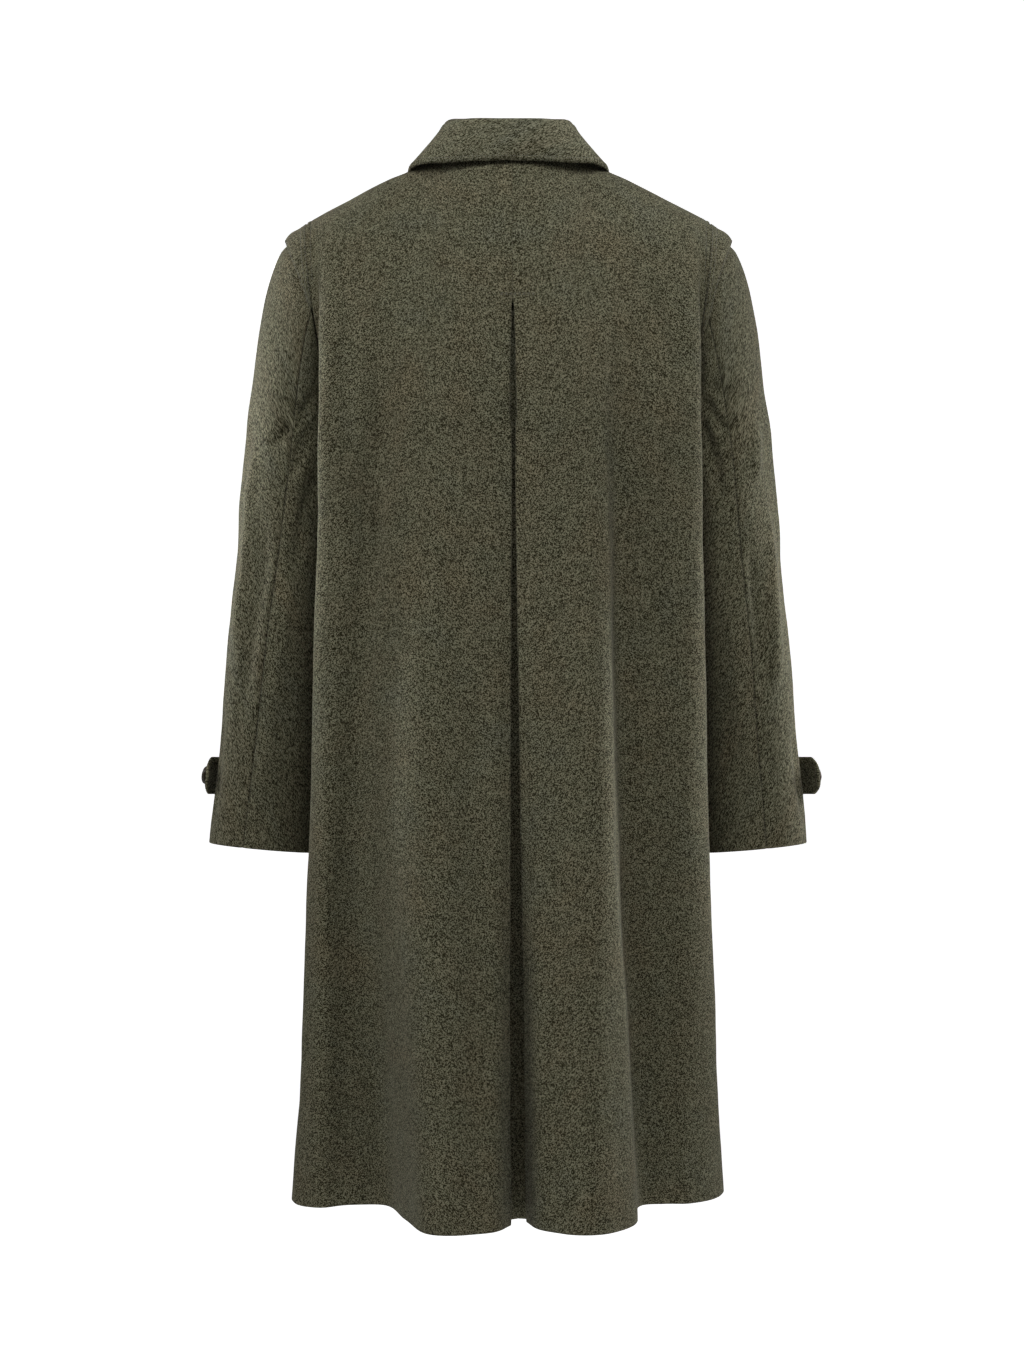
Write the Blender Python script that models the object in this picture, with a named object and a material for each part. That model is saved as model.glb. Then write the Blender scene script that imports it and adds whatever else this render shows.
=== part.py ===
"""A long loden coat as it hangs on a wearer who isn't there: hollow, open at neck, hem and cuffs.

Frame: metres, +Z up, +Y towards the coat's front, +X towards its right sleeve. The origin is the middle
of the neck at shoulder height. "out" is the distance from the middle plane, so x is -out on the left
side and +out on the right. Tables are in millimetres. Each cloth piece is a wall round a sheet of points.
"""

import math

import bmesh
import bpy
from mathutils import Vector
from mathutils.bvhtree import BVHTree

MM = 0.001
CLOTH = 2.6  # thickness of the fulled wool
SEAM = 0.15  # each piece stops this far from its seam, so that two are 0.3 mm apart
NECK_GAP = 2  # each front and back stops this far below the collar's stand
LAID_ON = CLOTH + 0.5  # between the middles of two layers that lie on each other

LEFT, RIGHT = -1, 1
SIDE_NAMES = {LEFT: "left", RIGHT: "right"}

CHEST_Z = -270
HIP_SHARE = 0.464  # where the hip section lies between chest and hem
YOKE_ROWS = (0, 0.1, 0.22, 0.36, 0.48, 0.58, 0.592, 0.78, 1)
PLEAT_ROW = 6  # the row of the sheet where the back pleat opens
SKIRT_ROWS = 13

NECK_OUT, NECK_BACK, NECK_FRONT = 75, 58, 72
NECK_BACK_Z, NECK_SIDE_Z, NECK_FRONT_Z = 2, 13.8, -62
SHOULDER_SLOPE = 0.541
COLLAR_PRESS = 3  # how far the collar presses the shoulder down beside the neck
PRESS_FROM, PRESS_TO = 102, 124
CENTRE_SEAM_X = 4.2  # the centre back seam stands this far right of the middle plane
FOLD_RADIUS = 2.6  # of the pleat's rolled edge, at the middle of the cloth
PLEAT_COLUMNS = 4  # the pleat's return lies behind this many columns of the back
RETURN_SPREAD = 7  # how much further the return stands from the flap at the hem
ROLL_TURNS = (120, 60)  # degrees round the rolled edge at which it has points
UNDERLAY_GAP = 0.5  # more room between the returns and the strip behind them
UNDERLAY_SPREAD = (1, 9)  # how much further back it lies near its middle: at its top, and more at the hem
UNDERLAY_MIDDLE = ((0, 11), (0.25, 13), (0.6, 24), (1, 36))  # its depth in the slit, by share of its length
OVERLAP = 32  # how far each front passes the middle plane
TUCK = 4.8  # how far the right front lies behind the left one

# Plan of the back at three heights, from the pleat's edge round to the side seam, with the hem's height.
PLAN_COLUMNS = ("name", "chest_out", "chest_y", "hip_out", "hip_y", "hem_out", "hem_y", "hem_z")
BACK_PLAN = {
    LEFT: (
        ("flap_edge", -0.1, -129, 0.2, -148, 0.5, -146, -1070),
        ("inner_roll", 24, -132, 18, -157, 14, -173, -1071.5),
        ("crest", 66, -131, 66, -160, 50, -181, -1072.5),
        ("outer_roll", 98, -125, 97, -149, 82, -168, -1072),
        ("flank", 113, -117, 117, -128, 103, -106, -1068),
        ("valley", 129, -112, 139, -106, 122, -44, -1063),
        ("plateau", 152, -114, 162, -101, 158, -36, -1063),
        ("corner", 176, -113, 184, -96, 196, -38, -1065),
        ("edge", 190, -97, 199, -74, 214, -22, -1065.5),
        ("side_back", 168, -48, 187, -36, 222, -4, -1063),
        ("side", 161, 4, 183, 12, 222, 18, -1063),
    ),
    RIGHT: (
        ("flap_edge", 10, -129, 14, -147, 21.5, -126, -1068),
        ("inner_roll", 30, -133, 32, -160, 33, -166, -1070),
        ("crest", 66, -133, 68, -163, 64, -181, -1072.2),
        ("outer_roll", 92, -128, 98, -154, 102, -165, -1072),
        ("flank", 105, -119, 115, -134, 129, -124, -1069),
        ("valley", 122, -110, 121, -110, 134, -56, -1064),
        ("plateau", 152, -109, 156, -100, 160, -28, -1063),
        ("corner", 178, -108, 187, -95, 198, -10, -1063.5),
        ("edge", 193, -92, 201, -72, 216, 14, -1062.5),
        ("side_back", 168, -47, 187, -34, 223, 34, -1060),
        ("side", 161, 4, 183, 12, 222, 54, -1060),
    ),
}
# How each column climbs to neck and shoulder: where it ends, and its slopes there and at the chest.
CLIMB_COLUMNS = ("top_out", "leave_y", "leave_z", "arrive_out", "arrive_y", "arrive_z")
BACK_CLIMB = (
    (0, -95, -120, 0, 0, -230),
    (22, -95, -118, 0, 0, -230),
    (56, -105, -105, 0, 0, -240),
    (90, -160, -40, 0, 0, -270),
    (112, -185, -22, 0, 0, -290),
    (132, -195, -15, 0, 0, -300),
    (154, -205, -15, 0, 0, -300),
    (174, -225, -20, 0, 0, -300),
    (188, -250, -30, 0, 0, -290),
    (198, -290, -50, -70, 110, -220),
    (207, -300, -30, -110, 300, -110),
)
BACK_STEPS = (2, 2, 2, 3, 3, 3, 2, 2, 2, 2)
# Plan of the front, alike on both sides, from the side seam to the edge past the middle.
FRONT_PLAN = (
    ("side", 161, 4, 183, 12, 222, 0, -1060),
    ("side_front", 166, 50, 185, 58, 217, 92, -1062),
    ("front_corner", 160, 92, 170, 112, 186, 140, -1066),
    ("front_outer", 121, 117, 128, 134, 130, 151, -1068),
    ("front_inner", 66, 127, 68, 148, 70, 174, -1069),
    ("middle", 0, 130, 0, 149, 0, 172, -1069),
    ("overlap", -OVERLAP, 129.5, -OVERLAP, 148.5, -OVERLAP, 173.2, -1069),
)
FRONT_CLIMB = (
    (207, 290, -35, -100, -290, -110),
    (196, 262, -50, -50, -100, -220),
    (172, 205, -20, 0, 0, -290),
    (128, 175, -25, 0, 0, -280),
    (60, 75, -95, 0, 0, -240),
    (0, 60, -95, 0, 0, -220),
    (-OVERLAP, 60, -95, 0, 0, -220),
)
FRONT_STEPS = (3, 3, 2, 2, 2, 1)

# The arm of a sleeve: rings square to an arm that leans out a little.
ARM_COLUMNS = ("name", "out", "z", "half_width", "half_depth", "y")
ARM_RINGS = (
    ("bicep", 219, -302, 49, 67, -2),
    ("above_elbow", 227.5, -400, 49.5, 64, -6),
    ("elbow", 237.5, -500, 50.5, 58, -6),
    ("forearm", 246.5, -605, 51.5, 50, 8),
    ("cuff", 255.5, -701, 52.5, 44, 20),
)
ARM_LEAN = math.radians(5.5)
# The sleeve head at four places round the armhole: start off the seam, and slopes at armhole and bicep.
HEAD_COLUMNS = ("start", "leave", "arrive")
SLEEVE_HEAD = (
    ((2, 0, -8), (138, 0, -56), (28, 0, -290)),
    ((3.6, 4.2, -1), (34, -22, -115), (14, 4, -150)),
    ((4.8, 0, 1.5), (2, 0, -26), (3, 0, -33)),
    ((3.6, -4.2, -1), (34, 18, -115), (14, -4, -150)),
)
HEAD_ROWS = (0, 0.08, 0.18, 0.32, 0.5, 0.74, 1)
ARM_ROWS = 8
FRONT_SEAM_DEG = 220
BACK_SEAM = {LEFT: (90, 88, 71), RIGHT: (90, 80, 80)}  # its angle at head, bicep and cuff
SLEEVE_STEPS = {"sleeve_top_": 15, "sleeve_under_": 9}

# The strip over the armhole seam: its width along the sleeve head, by angle from the shoulder's top.
BAND_WIDTH = {
    LEFT: ((0, 25), (35, 22), (60, 17), (78, 9), (88, 4)),
    RIGHT: ((0, 25), (35, 22), (60, 19), (85, 16), (98, 9), (108, 4)),
}
BAND_COLUMNS = (0, 0.3, 0.65, 1)
BAND_STEPS = 20
BAND_GAP = 1  # the strip starts this far from the armhole seam
BAND_PUFF = 1.2  # and stands this much higher there than at its stitched edge

# The collar from the back to its front end: fold line and outer edge, as (out, y, z).
COLLAR_COLUMNS = ("angle", "fold", "edge")
COLLAR = (
    (0, (0, -62, 41), (0, -75, -4)),
    (35, (41, -54, 41.5), (61, -70, -4)),
    (80, (63, -12, 44.8), (101, -16, -1)),
    (125, (51, 43, 14), (98, 52, -28)),
    (155, (25, 68, -18), (70, 98, -82)),
    (176, (6, 75, -33), (47, 112, -114)),
)
COLLAR_MIDDLE_Y = 4  # the collar closes round this place on the middle plane
COLLAR_RISE = 2  # its stand starts this far above the neck seam
COLLAR_ROLL = 3.2  # radius of its fold, at the middle of the cloth
STAND_SHARES = (0, 0.45, 0.86)
FALL_SHARES = (0.3, 0.6, 0.85, 1)
FALL_BOW = (3.5, -1.5)  # how far the fall bulges: at the back, and at the sides and front
COLLAR_ROOM = 0.8  # more room under the collar than a laid-on piece has
RIDGE_ROOM = 3.3  # and more where it passes over the shoulder's ridge
RIDGE_REACH = 24
COLLAR_STEPS = 36

# The strap that takes in the cuff: from the front round to its loose, pointed end.
STRAP_HEIGHT = 40
STRAP_Z = -628
STRAP_FROM_DEG, STRAP_TO_DEG = -104, 14
STRAP_STEPS = 15
STRAP_ACROSS = (-1, -0.4, 0.4, 1)
STRAP_POINT = 17  # length of the pointed end
STRAP_TIP_SHARE = 0.34  # width of its blunt tip, as a share of the strap's
STRAP_PER_DEGREE = 0.9  # length of strap for each degree round the cuff
STRAP_LOOSE_DEG = 62  # this much of it is loose
STRAP_GAP = 0.2
STRAP_LIFT = {LEFT: 8, RIGHT: 17}  # how far the loose end stands off the sleeve
STRAP_BUTTON_DEG = -7

BUTTON_Z = (-92, -222, -352, -482, -612)
BUTTON_RADIUS, CUFF_BUTTON_RADIUS = 13, 9.5
BUTTON_PROFILE = ((0, 0.62), (0.62, 0.7), (0.8, 1), (0.95, 0.9), (1, 0.55), (0.9, 0.12), (0.72, 0), (0, 0))
BUTTON_THICKNESS = 5.2
BUTTON_STEPS = 20
BUTTON_SHANK, CUFF_BUTTON_SHANK = 0.4, 0.8  # how far a button stands off its cloth

LODEN = (0.062, 0.058, 0.036, 1)
LODEN_DARK = (0.05, 0.047, 0.03, 1)
HORN = (0.045, 0.035, 0.022, 1)


def rows_of(columns, table):
    return [dict(zip(columns, row)) for row in table]


def smooth(share):
    share = min(1, max(0, share))
    return share * share * (3 - 2 * share)


def between(values, at):
    """The value at a fractional index of a list, on a smooth curve through all of them."""
    low = min(max(int(at), 0), len(values) - 2)
    t = at - low
    a, b = values[low], values[low + 1]
    before = values[low - 1] if low else a + a - b
    after = values[low + 2] if low + 2 < len(values) else b + b - a
    slope_a, slope_b = (b - before) * 0.5, (after - a) * 0.5
    return hermite(a, b, slope_a, slope_b, t)


def hermite(start, end, leave, arrive, t):
    return (
        start * (2 * t**3 - 3 * t**2 + 1)
        + leave * (t**3 - 2 * t**2 + t)
        + end * (3 * t**2 - 2 * t**3)
        + arrive * (t**3 - t**2)
    )


def keyed(pairs, at):
    """Straight-line reading of a short table of (place, value)."""
    for (a, low), (b, high) in zip(pairs, pairs[1:]):
        if at <= b:
            return low + (high - low) * max(0, at - a) / (b - a)
    return pairs[-1][1]


def placed(side, point):
    """A point given as (out, y, z) on one side of the coat."""
    return Vector((side * point[0], point[1], point[2]))


def neckline(out, forward):
    """The neck seam, as (out, y, z)."""
    turn = math.sqrt(max(0, 1 - (out / NECK_OUT) ** 2))
    side_z = NECK_SIDE_Z - COLLAR_PRESS
    if forward:
        return Vector((out, NECK_FRONT * turn, side_z + (NECK_FRONT_Z - side_z) * turn**1.3))
    return Vector((out, -NECK_BACK * turn, NECK_BACK_Z + (side_z - NECK_BACK_Z) * (out / NECK_OUT) ** 2))


def top_edge(out, forward):
    """Where a panel ends at the top: the neck seam, then the shoulder seam."""
    if abs(out) < NECK_OUT:
        return neckline(out, forward)
    pressed = COLLAR_PRESS * (1 - smooth((out - PRESS_FROM) / (PRESS_TO - PRESS_FROM)))
    return Vector((out, 0, NECK_SIDE_Z - (out - NECK_OUT) * SHOULDER_SLOPE - pressed))


def plan_point(plan, u, level):
    """A point of the skirt, level 0 at the chest and 1 at the hem."""
    keys = []
    for height in ("chest", "hip", "hem"):
        outs = [row[height + "_out"] for row in plan]
        depths = [row[height + "_y"] for row in plan]
        keys.append(Vector((between(outs, u), between(depths, u))))
    chest, hip, hem = keys
    mean = hem - chest
    if level < HIP_SHARE:
        flat = hermite(chest, hip, mean * 0, mean * HIP_SHARE, level / HIP_SHARE)
    else:
        rest = 1 - HIP_SHARE
        flat = hermite(hip, hem, mean * rest, (hem - hip) * 0.8, (level - HIP_SHARE) / rest)
    z = CHEST_Z + (between([row["hem_z"] for row in plan], u) - CHEST_Z) * level
    return Vector((flat.x, flat.y, z))


def climb_point(plan, climb, u, share, forward):
    """A point between the top edge, share 0, and the chest, share 1."""
    read = {name: between([row[name] for row in climb], u) for name in CLIMB_COLUMNS}
    top = top_edge(read["top_out"], forward)
    leave = Vector((0, read["leave_y"], read["leave_z"]))
    arrive = Vector((read["arrive_out"], read["arrive_y"], read["arrive_z"]))
    return hermite(top, plan_point(plan, u, 0), leave, arrive, share)


def armhole(degrees):
    """The armhole seam by angle: 0 at the shoulder, 90 at the back, 180 under the arm, 270 in front."""
    degrees %= 360
    if degrees <= 180:
        return climb_point(BACK_ROWS[LEFT], BACK_CLIMB_ROWS, len(BACK_CLIMB) - 1, degrees / 180, False)
    return climb_point(FRONT_ROWS, FRONT_CLIMB_ROWS, 0, (360 - degrees) / 180, True)


def panel_sheet(side, plan, climb, columns, forward):
    """Rows of points of one back or front, from the top edge to the hem."""
    sheet = []
    for row in range(len(YOKE_ROWS) + SKIRT_ROWS):
        line = []
        for u in columns:
            if row < len(YOKE_ROWS):
                point = climb_point(plan, climb, u, YOKE_ROWS[row], forward)
            else:
                level = (row - len(YOKE_ROWS) + 1) / SKIRT_ROWS
                point = plan_point(plan, u, level)
            if not forward and row < len(YOKE_ROWS) and u < 1:
                seam = side * CENTRE_SEAM_X + SEAM
                if row >= PLEAT_ROW:
                    rolled = seam + FOLD_RADIUS + CLOTH / 2
                    down = (YOKE_ROWS[row] - YOKE_ROWS[PLEAT_ROW]) / (1 - YOKE_ROWS[PLEAT_ROW])
                    seam = rolled + (plan[0]["chest_out"] - rolled) * down
                point.x = seam + (point.x - seam) * u
            if forward and side == RIGHT:
                point.y -= TUCK * smooth((2.4 * OVERLAP - point.x) / OVERLAP)
            line.append(placed(side, point))
        sheet.append(line)
    return sheet


def sheet_normals(sheet, start=None):
    """Outward normals of a sheet's points; start gives each row's first column, where rows differ."""
    start = start or [0] * len(sheet)
    total = {(i, j): Vector() for i, line in enumerate(sheet) for j in range(start[i], len(line))}
    for (i, j) in list(total):
        corners = [(i, j), (i, j + 1), (i + 1, j + 1), (i + 1, j)]
        if all(key in total for key in corners):
            a, b, c, d = (sheet[row][column] for row, column in corners)
            face = (c - a).cross(d - b)
            for key in corners:
                total[key] += face
    return {key: value.normalized() for key, value in total.items()}


def facing(normals, away_from):
    """Turns all normals of a sheet the way that most of them point away from a place inside it."""
    score = sum(normals[key].dot(away_from[key]) for key in normals)
    if score < 0:
        return {key: -value for key, value in normals.items()}
    return normals


def make_wall(name, sheet, normals, start=None, colour=LODEN):
    """A closed solid from a sheet of points in millimetres: a grid half a cloth out, extruded inwards."""
    columns = len(sheet[0])
    build = bmesh.new()
    number = build.verts.layers.int.new("number")
    bmesh.ops.create_grid(build, x_segments=columns - 1, y_segments=len(sheet) - 1, size=1)
    for k, vert in enumerate(build.verts):
        vert[number] = k
    if start:
        spare = [vert for vert in build.verts if vert[number] % columns < start[vert[number] // columns]]
        bmesh.ops.delete(build, geom=spare, context="VERTS")
    extruded = bmesh.ops.extrude_face_region(build, geom=build.faces[:], use_keep_orig=True)["geom"]
    inner = {item for item in extruded if isinstance(item, bmesh.types.BMVert)}
    for vert in build.verts:
        i, j = divmod(vert[number], columns)
        half = normals[i, j] * (-CLOTH / 2 if vert in inner else CLOTH / 2)
        vert.co = (sheet[i][j] + half) * MM
    build.verts.layers.int.remove(number)
    bmesh.ops.triangulate(build, faces=build.faces[:], quad_method="SHORT_EDGE")
    bmesh.ops.recalc_face_normals(build, faces=build.faces)
    add_object(name, build, colour)


def add_object(name, build, colour):
    mesh = bpy.data.meshes.new(name)
    build.to_mesh(mesh)
    build.free()
    mesh.shade_smooth()
    mesh.set_sharp_from_angle(angle=math.radians(40))
    mesh.materials.append(material(name, colour))
    bpy.context.scene.collection.objects.link(bpy.data.objects.new(name, mesh))


def material(name, colour):
    made = bpy.data.materials.new(name)
    made.use_nodes = True
    shader = made.node_tree.nodes["Principled BSDF"]
    shader.inputs["Base Color"].default_value = colour
    shader.inputs["Roughness"].default_value = 0.45 if colour == HORN else 0.92
    shader.inputs["Metallic"].default_value = 0
    return made


def inset_seams(sheet, first=False, last=False, top=None):
    """Draws a sheet back from its seams: its first or last column, and its top row from a column on."""
    for line in sheet:
        if first:
            line[0] = line[0] + (line[1] - line[0]).normalized() * SEAM
        if last:
            line[-1] = line[-1] + (line[-2] - line[-1]).normalized() * SEAM
    for j in range(top or 0, len(sheet[0]) if top is not None else 0):
        draw_back = SEAM if abs(sheet[0][j].x) >= NECK_OUT - 1 else NECK_GAP
        sheet[0][j] = sheet[0][j] + (sheet[1][j] - sheet[0][j]).normalized() * draw_back


def axis_directions(sheet):
    """For each point, the way out from the coat's upright axis, with a little upwards near the neck."""
    upwards = 60
    ways = {}
    for i, line in enumerate(sheet):
        for j, point in enumerate(line):
            ways[i, j] = Vector((point.x, point.y, upwards if i < 2 else 0))
    return ways


def same_way(sheet, way):
    """One direction for all points of a sheet."""
    return {(i, j): Vector(way) for i, line in enumerate(sheet) for j in range(len(line))}


def between_keys(steps):
    """Places along a table of keys, with so many steps from each key to the next."""
    places = [key + k / count for key, count in enumerate(steps) for k in range(count)]
    return places + [len(steps)]


def body_sheets(side):
    """Back and front sheets of one side, with normals that agree along the seams between them."""
    back_u = between_keys(BACK_STEPS)
    front_u = between_keys(FRONT_STEPS)
    back = panel_sheet(side, BACK_ROWS[side], BACK_CLIMB_ROWS, back_u, False)
    front = panel_sheet(side, FRONT_OF[side], FRONT_CLIMB_ROWS, front_u, True)
    back_n = facing(sheet_normals(back), axis_directions(back))
    front_n = facing(sheet_normals(front), axis_directions(front))
    last = len(back_u) - 1
    for i in range(len(YOKE_ROWS) - 1, len(back)):
        shared = (back_n[i, last] + front_n[i, 0]).normalized()
        back_n[i, last] = front_n[i, 0] = shared
    for j in range(len(back_u)):
        if abs(back[0][j].x) >= NECK_OUT - 1:
            back_n[0, j] = Vector((back_n[0, j].x, 0, back_n[0, j].z)).normalized()
    for j in range(len(front_u)):
        if abs(front[0][j].x) >= NECK_OUT - 1:
            front_n[0, j] = Vector((front_n[0, j].x, 0, front_n[0, j].z)).normalized()
    for i in range(PLEAT_ROW):
        back_n[i, 0] = Vector((0, back_n[i, 0].y, back_n[i, 0].z)).normalized()
    return back, back_n, front, front_n


def add_pleat(sheet, normals):
    """Adds the pleat's rolled edge and its return, as columns before the back's first column."""
    extra = PLEAT_COLUMNS + 1 + len(ROLL_TURNS)
    full, start = [], []
    for i, line in enumerate(sheet):
        if i < PLEAT_ROW:
            full.append([Vector()] * extra + line)
            start.append(extra)
            continue
        share = (i - PLEAT_ROW) / (len(sheet) - 1 - PLEAT_ROW)
        back = []
        for j in range(PLEAT_COLUMNS, -1, -1):
            depth = 2 * FOLD_RADIUS + RETURN_SPREAD * share * j / PLEAT_COLUMNS
            back.append(line[j] - normals[i, j] * depth)
        onward = (line[0] - line[1]).normalized()
        normal = normals[i, 0]
        onward = (onward - normal * onward.dot(normal)).normalized()
        centre = line[0] - normal * FOLD_RADIUS
        for degrees in ROLL_TURNS:
            a = math.radians(degrees)
            back.append(centre + (normal * math.cos(a) + onward * math.sin(a)) * FOLD_RADIUS)
        full.append(back + line)
        start.append(0)
    return full, start, extra


def make_back(side, sheet, normals):
    """One back, from the shoulder to the hem, with its half of the pleat turned in behind it."""
    full, start, extra = add_pleat(sheet, normals)
    whole = sheet_normals(full, start)
    agree = sum(whole[i, j + extra].dot(normals[i, j]) for (i, j) in normals)
    if agree < 0:
        whole = {key: -value for key, value in whole.items()}
    for (i, j), normal in normals.items():
        if j > 1 or i < PLEAT_ROW:
            whole[i, j + extra] = normal
    inset_seams(full, last=True, top=extra)
    make_wall("back_" + SIDE_NAMES[side], full, whole, start=start)


def make_front(side, sheet, normals):
    """One front, from the shoulder to the hem."""
    inset_seams(sheet, first=True, top=0)
    make_wall("front_" + SIDE_NAMES[side], sheet, normals)


def make_underlay(sheets, normals):
    """The strip that closes the pleat behind its two returns."""
    at_top, more_at_hem = UNDERLAY_SPREAD
    rows = len(sheets[LEFT])
    sheet = []
    for i in range(PLEAT_ROW, rows):
        share = (i - PLEAT_ROW) / (rows - 1 - PLEAT_ROW)
        halves = {}
        for side in (LEFT, RIGHT):
            line = []
            for j in range(PLEAT_COLUMNS, 0, -1):
                near_middle = 1 - j / PLEAT_COLUMNS
                depth = 2 * FOLD_RADIUS + RETURN_SPREAD * share * j / PLEAT_COLUMNS + LAID_ON
                depth += UNDERLAY_GAP + near_middle * (at_top + more_at_hem * share)
                line.append(sheets[side][i][j] - normals[side][i, j] * depth)
            halves[side] = line
        edges = [sheets[side][i][0] for side in (LEFT, RIGHT)]
        middle = (edges[0] + edges[1]) / 2
        middle.y = max(edge.y for edge in edges) + keyed(UNDERLAY_MIDDLE, share)
        sheet.append(halves[LEFT] + [middle] + halves[RIGHT][::-1])
    normals = facing(sheet_normals(sheet), same_way(sheet, (0, -1, 0)))
    make_wall("pleat_underlay", sheet, normals, colour=LODEN_DARK)


def round_armhole(column, degrees):
    """A value of SLEEVE_HEAD at any angle, turning smoothly between its four places."""
    quarter = (degrees % 360) / 90
    low = int(quarter) % 4
    share = smooth(quarter - int(quarter))
    a = Vector(HEAD[low][column])
    b = Vector(HEAD[(low + 1) % 4][column])
    return a + (b - a) * share


def arm_point(degrees, share):
    """A point of the sleeve below the bicep, share 0 there and 1 at the cuff, as (out, y, z)."""
    at = share * (len(ARM) - 1)
    ring = {name: between([row[name] for row in ARM], at) for name in ARM_COLUMNS[1:]}
    a = math.radians(degrees)
    wide = ring["half_width"] * math.cos(a)
    return Vector((
        ring["out"] + wide * math.cos(ARM_LEAN),
        ring["y"] - ring["half_depth"] * math.sin(a),
        ring["z"] + wide * math.sin(ARM_LEAN),
    ))


def head_point(degrees, share):
    """A point of the sleeve head, share 0 at the armhole and 1 at the bicep."""
    start = armhole(degrees) + round_armhole("start", degrees)
    leave, arrive = round_armhole("leave", degrees), round_armhole("arrive", degrees)
    return hermite(start, arm_point(degrees, 0), leave, arrive, share)


def back_seam(side, row):
    """The angle of the sleeve's back seam in a row of its sheet."""
    head, bicep, cuff = BACK_SEAM[side]
    last_head = len(HEAD_ROWS) - 1
    if row <= last_head:
        return head + (bicep - head) * HEAD_ROWS[row]
    return bicep + (cuff - bicep) * (row - last_head) / ARM_ROWS


def sleeve_sheet(side, piece):
    """Rows of points of one piece of a sleeve, with one column more on each side, from the armhole down."""
    steps = SLEEVE_STEPS[piece]
    sheet = []
    for row in range(len(HEAD_ROWS) + ARM_ROWS):
        first, last = FRONT_SEAM_DEG - 360, back_seam(side, row)
        if piece == "sleeve_under_":
            first, last = last, FRONT_SEAM_DEG
        line = []
        for k in range(-1, steps + 2):
            degrees = first + (last - first) * k / steps
            if row < len(HEAD_ROWS):
                point = head_point(degrees, HEAD_ROWS[row])
            else:
                point = arm_point(degrees, (row - len(HEAD_ROWS) + 1) / ARM_ROWS)
            line.append(placed(side, point))
        sheet.append(line)
    return sheet


def arm_axis(side, row):
    """Roughly the middle of the sleeve in a row of its sheet."""
    share = max(0, (row - len(HEAD_ROWS) + 1) / ARM_ROWS)
    middle = (arm_point(0, share) + arm_point(180, share)) / 2
    return placed(side, middle)


def make_sleeve(side):
    """Both pieces of a sleeve, the wide one outside and the narrow one under the arm."""
    for piece in SLEEVE_STEPS:
        wide = sleeve_sheet(side, piece)
        ways = {}
        for i, line in enumerate(wide):
            for j, point in enumerate(line):
                ways[i, j] = point - arm_axis(side, i) if i >= len(HEAD_ROWS) else Vector()
        normals = facing(sheet_normals(wide), ways)
        normals = {(i, j - 1): n for (i, j), n in normals.items() if 0 < j < len(wide[0]) - 1}
        sheet = [line[1:-1] for line in wide]
        inset_seams(sheet, first=True, last=True)
        make_wall(piece + SIDE_NAMES[side], sheet, normals)


def make_band(side):
    """The strip that lies over the head of the sleeve, from one side of the armhole to the other."""
    widths = BAND_WIDTH[side]
    reach = widths[-1][0]
    angles = [-reach + 2 * reach * k / BAND_STEPS for k in range(BAND_STEPS + 1)]
    sheet = []
    for degrees in angles:
        width = keyed(widths, abs(degrees))
        seam = armhole(degrees)
        line = []
        for share in BAND_COLUMNS:
            travel = width * share
            along = travel / max(1, (head_point(degrees, 0.5) - head_point(degrees, 0)).length * 2)
            ahead = head_point(degrees, along)
            slope = (head_point(degrees, along + 0.02) - ahead).normalized()
            round_way = (head_point(degrees + 3, along) - head_point(degrees - 3, along)).normalized()
            normal = slope.cross(round_way)
            outwards = Vector((1, -2 * math.sin(math.radians(degrees)), 1))
            if normal.dot(outwards) < 0:
                normal = -normal
            lifted = ahead + normal.normalized() * (LAID_ON + BAND_PUFF * (1 - share))
            start = seam + (lifted - seam).normalized() * BAND_GAP
            line.append(placed(side, start.lerp(lifted, smooth(share / BAND_COLUMNS[1]))))
        sheet.append(line)
    normals = facing(sheet_normals(sheet), same_way(sheet, (side, 0, 0.6)))
    make_wall("armhole_band_" + SIDE_NAMES[side], sheet, normals)


def clear_of(point, trees, least):
    """Moves a point out until it lies at least that far from the outside of the sheet nearest to it."""
    for _ in range(3):
        found = [tree.find_nearest(point)[:2] for tree in trees]
        place, normal = min(found, key=lambda hit: (point - hit[0]).length)
        height = (point - place).dot(normal)
        if height >= least:
            break
        point = point + normal * (least - height)
    return point


def tree_of(sheet, normals):
    points, faces = [], []
    width = len(sheet[0])
    for line in sheet:
        points.extend(line)
    for i in range(len(sheet) - 1):
        for j in range(width - 1):
            face = [i * width + j, i * width + j + 1, (i + 1) * width + j + 1, (i + 1) * width + j]
            a, b, c = (points[k] for k in face[:3])
            if (b - a).cross(c - b).dot(normals[i, j]) < 0:
                face.reverse()
            faces.append(face)
    return BVHTree.FromPolygons(points, faces)


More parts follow.
